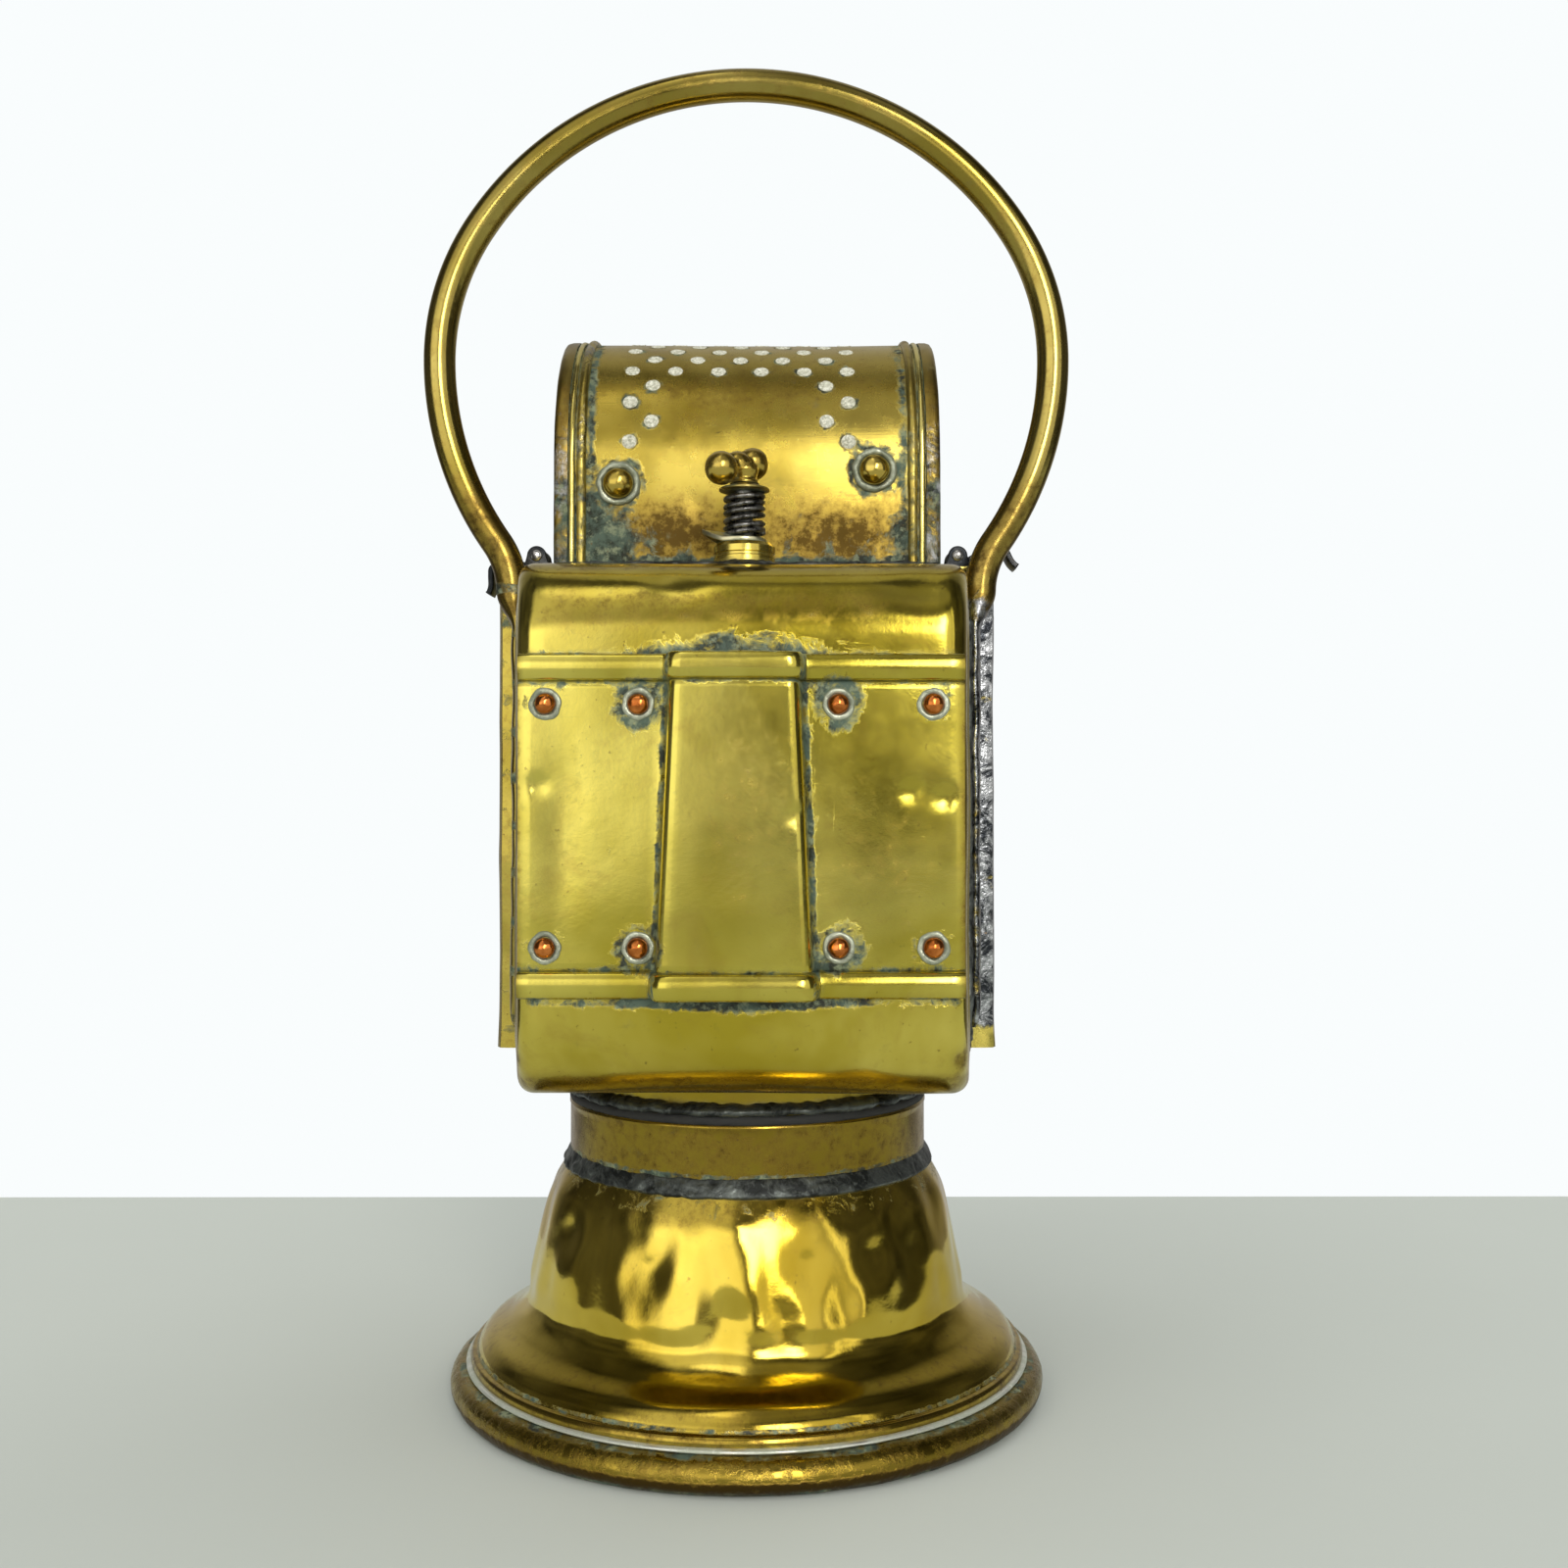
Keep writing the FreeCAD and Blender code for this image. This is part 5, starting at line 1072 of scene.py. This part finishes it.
def arch_rows(profile, mat, name, nodes=(), foot=ROOF_Z + 1.0, rough=None, fill=False):
    """Sweeps an (x, radius) profile over the chimney's arch, down to the roof on both sides."""
    profile = np.array(profile, float)
    low = QUARTER + SPRING_Z - foot
    v = np.concatenate([np.linspace(-low, -QUARTER, 26)[:-1], np.linspace(-QUARTER, QUARTER, 121),
                        np.linspace(QUARTER, low, 26)[1:]])
    turn = np.clip(v / HOOD_R, -math.pi / 2, math.pi / 2)
    below = np.maximum(np.abs(v) - QUARTER, 0)
    y = HOOD_Y + profile[:, 1][None] * np.sin(turn)[:, None]
    z = SPRING_Z + profile[:, 1][None] * np.cos(turn)[:, None] - below[:, None]
    points = np.stack([np.repeat(profile[:, 0][None], len(v), 0), y, z], -1)
    if rough:
        away = unit(points - points.mean(1, keepdims=True))
        points = points + away * ripple(points, *rough)[..., None]
    if fill:
        spine = line_of(profile[-1, 0], HOOD_Y, np.minimum(points[:, -1, 2], SPRING_Z))
        steps = [points[:, -1] + (spine - points[:, -1]) * t for t in (0.01, 0.15, 0.35, 0.6, 0.8, 1.0)]
        dent = [line_of(ripple(s, 9.0, 0.35, 105), 0, 0) for s in steps]
        sign = 1 if profile[-1, 0] > 0 else -1
        steps = [s - [sign * 0.3 * min(k, 1), 0, 0] + d * min(k, 1) for k, (s, d) in enumerate(zip(steps, dent))]
        points = np.concatenate([points, np.stack(steps, 1)], 1)
        points[..., 0] = np.clip(points[..., 0], -HOOD_HALF, HOOD_HALF)
    rows, cols = points.shape[:2]
    faces = grid_faces(rows, cols, False, not fill)
    if profile[-1, 0] < 0 and fill:
        faces = faces[:, ::-1]
    return make(name, points.reshape(-1, 3), faces, mat, "roof", nodes, sharp=50)


def bead(x, radius, steps=16):
    a = np.linspace(0, 2 * math.pi, steps, endpoint=False)
    return np.stack([x + radius * np.cos(a), HOOD_R + radius * np.sin(a)], -1)


def build_chimney():
    end = HOOD_HALF - 1.0
    holes = [(x, v, 1.4) for x, v in hood_holes()]
    hood = pierced("hood", (-end, end), (-QUARTER - WALL_H, QUARTER + WALL_H), 1.3, holes, hood_shape, 0.8, M["hood"],
                   "roof", ["chimney_hood"])

    def laid(x, y, z):
        rear = np.where(y < HOOD_Y, 1.0, 0.75)
        corner = 0.80 * spot(x, z, (-33, 162), (15, 7)) + 0.62 * spot(x, z, (-30, 169), (9, 7))
        corner += 0.60 * spot(x, z, (31, 166), (7, 9))
        foot = 0.72 * band(z, 158, 161.6, 1.6) + 0.42 * band(z, 158, 165, 4) * band(np.sin(x * 0.9), 0.2, 1, 0.6)
        edge = 0.62 * band(np.abs(x), 29.8, 31.6, 0.9) + 0.5 * band(np.abs(x), 33.0, 34.0, 0.4)
        ring = sum(0.62 * np.exp(-((np.hypot(x - rx, z - rz) - 4.6) / 1.5) ** 2) for rx, rz in HOOD_RIVETS)
        ring = ring * (z < 188)
        soot = 0.36 * band(z, 196, 214, 8)
        around = np.clip((z - SPRING_Z) / HOOD_R, -1, 1)
        arc = np.where(z > SPRING_Z, np.arccos(around) * HOOD_R, 99.0) * np.where(y < HOOD_Y, -1, 1)
        for u, v, _ in holes:
            ring = np.maximum(ring, 0.56 * np.exp(-((np.hypot(x - u, arc - v) - 1.75) / 0.5) ** 2))
        # Tarnish and painted shade: the hood is darker low on its walls, at two spots above the roof and across the
        # crown, standing for the darker reflections there.
        hood_shade_and_tarnish = 0.52 * spot(x, z, (-15, 167), (10, 5)) + 0.46 * spot(x, z, (17, 166), (14, 6))
        hood_shade_and_tarnish += 0.44 * band(z, 158, 173, 8)
        hood_shade_and_tarnish += 0.32 * spot(x, z, (0, 194), (26, 8))
        return rear * np.maximum.reduce([corner, foot, edge, ring, 0.3 * soot]), hood_shade_and_tarnish + 0.5 * soot, 0
    lay_stains_and_shade(hood, laid)
    build_residue(holes)
    for s, side in SIDES:
        roll = arch_rows(bead(s * 32.4, 0.95), M["roof"], f"bead_{side}", rough=(4.0, 0.12, 110 + s))
        lay_stains_and_shade(roll, lambda x, y, z: (0.40 * band(z, 158, 190, 12), 0.35 * (x > 0), 0.40 * (x < 0)))
        arch_rows(bead(s * 34.25, 0.62), M["bead"], f"bead_small_{side}", rough=(3.0, 0.10, 112 + s))
        lip = [(35.0, 0.05), (35.1, 0.4), (35.5, 0.5), (36.7, 0.5), (37.4, 0.3), (37.8, -0.2), (37.9, -0.9)]
        lip = [(s * x, HOOD_R + rise) for x, rise in lip]
        cap = arch_rows(lip, M["cap"], f"cap_{side}", [f"chimney_cap_{side}"], rough=(5.0, 0.1, 115 + s), fill=True)
        lay_stains_and_shade(cap, lambda x, y, z: (0.55 * band(z, 158, 176, 8), 0.5 * band(z, 158, 196, 10),
                                    0.42 * band(z, 158, 188, 8)))
    spots = [((x, HOOD_Y + s * HOOD_R, z), (0, s, 0)) for s in (-1, 1) for x, z in HOOD_RIVETS]
    dome_set("hood_rivets", [((x, y + d[1] * 0.3, z), d) for (x, y, z), d in spots], 3.0, 2.4, M["stud"], "roof",
             ["baffle_rivets"], 0.1)
    seat_set("hood_rivet_seats", spots, 3.0, 4.35, 0.6, M["ring"], "roof", ["baffle_rivet_seats"], 0.3)
    paint("chimney_baffle", M["smoked"])
    outline = corner_closed([(-CASE_HALF, CASE_BACK), (CASE_HALF, CASE_BACK), (CASE_HALF, CASE_FRONT),
                             (-CASE_HALF, CASE_FRONT)], 1.2)
    slab("roof_sheet", outline, ROOF_Z, ROOF_Z + 1.0, 0.35, "z", M["roof"], "roof", ["roof_plate"])
    for s, side in ((-1, "rear"), (1, "front")):
        line = line_of(np.linspace(-37.2, 37.2, 150), HOOD_Y + s * (HOOD_R + 0.5), ROOF_Z + 1.2)
        swell = 1 + 0.4 * np.array([ripple(p, 3.0, 1.0, 118) for p in line])
        tube(f"hood_foot_{side}", line, (0, 1, 0), np.stack([0.9 * swell, 1.1 * swell], -1), M["solder"], "roof",
             (), 14)


def build_residue(holes):
    """Dried polish that fills the punched holes, with pinholes and a slightly sunken, uneven top."""
    points, faces = [], []
    for number, (u, v, radius) in enumerate(holes):
        first = len(points)
        rings = [(radius * 1.08, 0.10), (radius * 1.02, -0.10), (radius * 0.6, -0.05), (radius * 0.05, 0.05)]
        for r, sunk in rings:
            flat = disc_points((u, v), r, 22)
            at = hood_shape(flat[:, 0], flat[:, 1], -sunk, True)
            turn = np.clip(v / HOOD_R, -math.pi / 2, math.pi / 2)
            out = np.array([0, math.sin(turn), math.cos(turn)])
            at = at + out * (ripple(at, 0.8, 0.10, 120 + number % 7) + bulk_dent(u, v))[:, None]
            points += at.tolist()
        faces += [tuple(f + first) for f in grid_faces(4, 22, False, True)]
        faces.append(tuple(range(first + 66, first + 88)))
    make("hole_residue", points, faces, M["ash"], "roof")


def bulk_dent(u, v):
    """How far the hood's sheet is pushed at one point, so that the residue follows it."""
    there = hood_shape(np.array([u]), np.array([v])) - hood_shape(np.array([u]), np.array([v]), 0.0, True)
    turn = np.clip(v / HOOD_R, -math.pi / 2, math.pi / 2)
    return float(there[0] @ np.array([0, math.sin(turn), math.cos(turn)]))


# ---- roof clips ----------------------------------------------------------------------------------
CLIP_X, CLIP_Z = 41.3, 162.9


def build_clips():
    for s, side, lift in ((-1, "left", 0), (1, "right", 28)):
        pin = np.array([CLIP_X, CLIP_Z])
        strap = [(CLIP_X, 161.35), (CLIP_X + 2, 161.3), (46.5, 161.45), (49.2, 161.35), (50.35, 160.7), (50.5, 159.4),
                 (50.45, 157.4), (50.7, 156.2), (51.0, 155.6)]
        turn = np.linspace(math.radians(60), math.radians(-90), 20)
        curl = np.stack([CLIP_X - 1.25 * np.cos(turn), CLIP_Z + 1.25 * np.sin(turn)], -1)
        over = np.linspace(math.radians(-20), math.radians(120), 10)
        head = np.stack([CLIP_X + 1.25 * np.cos(over), CLIP_Z + 1.25 * np.sin(over)], -1)
        line = np.concatenate([head, curl[1:], smooth_line(strap, 60)[1:]])
        outline = turn_2d(ribbon(line, 1.15), pin, lift)
        outline[:, 0] *= s
        slab(f"clip_{side}_strap", outline if s > 0 else outline[::-1], -7.4, -2.6, 0.3, "y", M["steel"],
             f"clip_{side}", [f"roof_clip_{side}"], 0.08)
    a = np.linspace(0, math.pi, 20)
    for s, side in SIDES:
        round_top = np.stack([s * CLIP_X + 1.9 * np.cos(a), CLIP_Z + 1.9 * np.sin(a)], -1)
        outline = np.concatenate([round_top, [(s * CLIP_X - 2.6, ROOF_Z + 0.9), (s * CLIP_X + 2.6, ROOF_Z + 0.9)]])
        for y, place in ((-9.0, "rear"), (-2.4, "front")):
            first = side == "left" and place == "rear"
            slab(f"lug_{side}_{place}", outline, y, y + 1.4, 0.3, "y", M["steel"], "roof",
                 ["clip_lugs"] if first else (), 0.1)
    heads = [((s * CLIP_X, y, CLIP_Z), (0, d, 0)) for s in (-1, 1) for y, d in ((-9.0, -1), (-1.0, 1))]
    dome_set("clip_pin_heads", heads, 1.15, 0.5, M["bright"], "roof", (), 0.08)
    paint("clip_pins", M["steel"])


# ---- door ----------------------------------------------------------------------------------------
DOOR_HALF, DOOR_LOW, DOOR_HIGH, DOOR_BACK, DOOR_FACE, MID_Z = 46.5, 69.0, 156.8, 53.3, 56.5, 113.25


def door_edge(turn, inset, radius=6.0):
    """Point of the door's rounded outline in one direction from the middle of the lens."""
    c, s = np.cos(turn), np.sin(turn)
    half = DOOR_HALF - inset
    top, low = DOOR_HIGH - inset - MID_Z, MID_Z - DOOR_LOW - inset
    high = np.where(s > 0, top, low)
    r = max(radius - inset, 0.3)
    reach = np.minimum(half / np.maximum(np.abs(c), 1e-9), high / np.maximum(np.abs(s), 1e-9))
    x, z = np.abs(reach * c), np.abs(reach * s)
    corner = (x > half - r) & (z > high - r)
    cx, cz = half - r, high - r
    b = np.abs(c) * cx + np.abs(s) * cz
    out = b + np.sqrt(np.maximum(b * b - (cx * cx + cz * cz - r * r), 0))
    reach = np.where(corner, out, reach)
    return np.stack([reach * c, MID_Z + reach * s], -1)


def build_door():
    turn = np.linspace(0, 2 * math.pi, 480, endpoint=False)

    def ring(flat, y):
        return np.column_stack([flat, np.broadcast_to(y, len(flat))])

    window = np.stack([31.5 * np.cos(turn), MID_Z + 31.5 * np.sin(turn)], -1)
    rows = [ring(window, DOOR_FACE - 0.9), ring(window, DOOR_FACE)]
    face = door_edge(turn, 1.2)
    for t in np.linspace(0.02, 1, 26):
        flat = window + (face - window) * t
        dent = ripple(ring(flat, 0.0), 16.0, 0.16, 130) - 0.12
        rows.append(ring(flat, DOOR_FACE + dent * min(1, 4 * t, 4 * (1.02 - t))))
    for a in (30, 60, 90):
        a = math.radians(a)
        rows.append(ring(door_edge(turn, 1.2 * (1 - math.sin(a))), DOOR_FACE - 1.2 * (1 - math.cos(a))))
    for inset, y in ((0.0, DOOR_BACK + 0.2), (0.2, DOOR_BACK), (0.8, DOOR_BACK + 0.1), (0.9, DOOR_FACE - 1.2),
                     (1.9, DOOR_FACE - 0.9)):
        rows.append(ring(door_edge(turn, inset), y))
    grid = np.array(rows)[..., [0, 2, 1]]
    faces = grid_faces(len(rows), len(turn), True, True)[:, ::-1]
    make("door_tray", grid.reshape(-1, 3), faces, M["case"], "door", ["door_pan"], sharp=40)
    edge, radius = 2.2, 34.0
    low, high = span("lens_glass")
    back, front = low[1], high[1]
    ball = (radius ** 2 + (front - back - edge) ** 2) / (2 * (front - back - edge))
    r = np.linspace(radius, 0.001, 60)
    profile = [(0.001, back), (radius - 0.4, back), (radius, back + 0.4), (radius, back + edge - 0.2)]
    profile += [(x, front - ball + math.sqrt(ball ** 2 - x * x)) for x in r]
    lathe("lens", np.array(profile), M["glass"], "door", ["lens_glass"], 200, None, (0, 0), "y", MID_Z)
    low, high = span("lens_bezel")
    b0, b1 = low[1], high[1]
    bezel = [(38.9, b0), (39.0, b0 + 0.5), (38.7, b0 + 1.1), (38.0, b0 + 1.5), (37.2, b0 + 1.9), (36.7, b0 + 2.7),
             (36.2, b1 - 0.8), (35.6, b1 - 0.15), (34.8, b1), (33.8, b1 - 0.25), (33.2, b1 - 0.8), (33.0, b1 - 1.3)]
    bezel = smooth_line(bezel, 60)
    lathe("bezel", np.concatenate([bezel, [(33.6, b1 - 1.8), (34.3, b0 + 0.2), (34.3, b0)]]), M["turned"], "door",
          ["lens_bezel"], 240, worn(7.0, 0.05, 131), (0, 0), "y", MID_Z, closed=True)
    low, high = span("door_knob")
    cx, cz, y0, y1 = (low[0] + high[0]) / 2, (low[2] + high[2]) / 2, low[1], high[1]
    half = (high[0] - low[0]) / 2
    knob = [(0.55, 0.0), (0.5, 0.12), (0.42, 0.3), (0.5, 0.42), (0.85, 0.52), (0.99, 0.66), (0.97, 0.8), (0.8, 0.93),
            (0.45, 0.99)]
    knob = smooth_line([(half * wide, rise) for wide, rise in knob] + [(0.001, 1.0)], 60) * [1, y1 - y0] + [0, y0]
    knob[:, 1] = np.minimum(knob[:, 1], y1)
    knob[:, 0] = np.clip(knob[:, 0], 0.001, half)
    lathe("knob", knob, M["turned"], "door", ["door_knob"], 72, None, (cx, 0), "y", cz)
    for node, mat in (("lens_retainer", "smoked"), ("snap_nib", "turned"), ("hinge_moving", "turned")):
        paint(node, M[mat])


# ---- studio --------------------------------------------------------------------------------------
# left, right, low and high in degrees, softness of the edges in degrees, power
SOFT_BOXES = ((-56, -5, -24, 22, 6, 1.6), (-56, -5, 18, 62, 9, 0.8), (-3, 12, -14, 10, 3, 0.12),
              (9, 20, 9, 34, 3, 14.0), (20, 46, -14, 36, 4, 0.95), (49, 54, -10, 40, 2, 1.8), (-36, -10, 62, 80, 5, 1.6),
              (-30, 60, 50, 88, 8, 0.22))


def build_room():
    """What the polished brass reflects: a dim room with soft boxes in front of the lamp and pale paper behind it."""
    world = bpy.data.worlds.new("studio")
    bpy.context.scene.world = world
    world.use_nodes = True
    g = Graph.__new__(Graph)
    g.tree = world.node_tree
    g.tree.nodes.clear()
    g.place = g.add("ShaderNodeTexCoord").outputs["Generated"]
    x, y, z = g.add("ShaderNodeSeparateXYZ", {"Vector": g.place}).outputs[:]
    turn = g.calc("MULTIPLY", g.calc("ARCTAN2", x, g.calc("MULTIPLY", y, -1.0)), 180 / math.pi)
    rise = g.calc("MULTIPLY", g.calc("ARCSINE", z), 180 / math.pi)
    turn = g.calc("ADD", turn, g.level(g.noise(3.0, 2), 0.3, 0.7, -3, 3))
    rise = g.calc("ADD", rise, g.level(g.noise(2.6, 2), 0.3, 0.7, -3, 3))

    def box_light(left, right, low, high, soft, power):
        """A soft box between two bearings from the rear of the lamp and two heights, in degrees."""
        sides = g.calc("MULTIPLY", g.level(turn, left - soft, left + soft),
                       g.level(turn, right - soft, right + soft, 1, 0))
        ends = g.calc("MULTIPLY", g.level(rise, low - soft, low + soft), g.level(rise, high - soft, high + soft, 1, 0))
        return g.calc("MULTIPLY", g.calc("MULTIPLY", sides, ends), power)

    glow = g.level(g.noise(2.4, 3), 0.35, 0.65, 0.02, 0.10)
    for light in SOFT_BOXES:
        glow = g.calc("ADD", glow, box_light(*light))
    paper = g.level(g.calc("MAXIMUM", turn, g.calc("MULTIPLY", turn, -1.0)), 120, 150, 0.0, 0.4)
    glow = g.calc("ADD", glow, paper)
    path = g.add("ShaderNodeLightPath").outputs
    around = g.add("ShaderNodeBackground", {"Color": rgb(1.0, 0.985, 0.95), "Strength": glow}).outputs[0]
    soft = g.add("ShaderNodeBackground", {"Color": rgb(0.97, 1.0, 1.0), "Strength": 0.62}).outputs[0]
    around = g.add("ShaderNodeMixShader", {0: path["Is Diffuse Ray"], 1: around, 2: soft}).outputs[0]
    seen = g.add("ShaderNodeBackground", {"Color": rgb(0.95, 0.98, 0.985), "Strength": 1.0}).outputs[0]
    mixed = g.add("ShaderNodeMixShader", {0: path["Is Camera Ray"], 1: around, 2: seen}).outputs[0]
    g.add("ShaderNodeOutputWorld", {"Surface": mixed})


def build_studio():
    floor_mat = Graph("floor_plaster")
    cloud = floor_mat.noise(3.0, 4, 0.6)
    grain = floor_mat.noise(160, 3, 0.6)
    floor_mat.paint(color=floor_mat.mix(cloud, rgb(0.56, 0.59, 0.54), rgb(0.62, 0.65, 0.60)), rough=0.9, shine=0.05,
                    normal=floor_mat.bump(grain, 0.00005))
    mesh = bpy.data.meshes.new("floor")
    mesh.from_pydata([(-3, -3, 0), (3, -3, 0), (3, 0.148, 0), (-3, 0.148, 0)], [], [(0, 1, 2, 3)])
    mesh.materials.append(floor_mat.mat)
    floor = bpy.data.objects.new("floor", mesh)
    bpy.context.scene.collection.objects.link(floor)

    def lamp(name, where, aim, size, power, colour=(1, 1, 1)):
        light = bpy.data.lights.new(name, "AREA")
        light.shape, light.size, light.size_y, light.energy, light.color = "RECTANGLE", size[0], size[1], power, colour
        piece = bpy.data.objects.new(name, light)
        bpy.context.scene.collection.objects.link(piece)
        piece.location = where
        piece.rotation_euler = (Vector(aim) - Vector(where)).to_track_quat("-Z", "Y").to_euler()
        piece.visible_glossy = False

    lamp("key", (-0.85, -0.75, 0.95), (0, 0, 0.12), (0.8, 0.8), 2.6, (1.0, 0.985, 0.96))
    lamp("fill", (0.95, -0.35, 0.5), (0, 0, 0.1), (0.35, 0.9), 0.3)
    lamp("top", (0, 0.1, 1.1), (0, 0, 0.2), (1.2, 1.0), 1.3)
    lamp("rim", (0.55, 0.6, 0.6), (0, 0, 0.15), (0.5, 0.5), 1.0)
    build_room()

    bpy.context.scene.view_settings.view_transform = "Standard"
    view = bpy.data.cameras.new("camera")
    view.lens, view.sensor_width = 36.44, 36.0
    camera = bpy.data.objects.new("camera", view)
    camera.location = (0.006414, -0.319181, 0.112420)
    camera.rotation_euler = (math.radians(91.05), 0, -0.0026)
    bpy.context.scene.collection.objects.link(camera)
    bpy.context.scene.camera = camera


build_base()
build_neck()
build_tank()
build_bracket()
build_handle()
build_case()
build_valve()
build_chimney()
build_clips()
build_door()
build_studio()
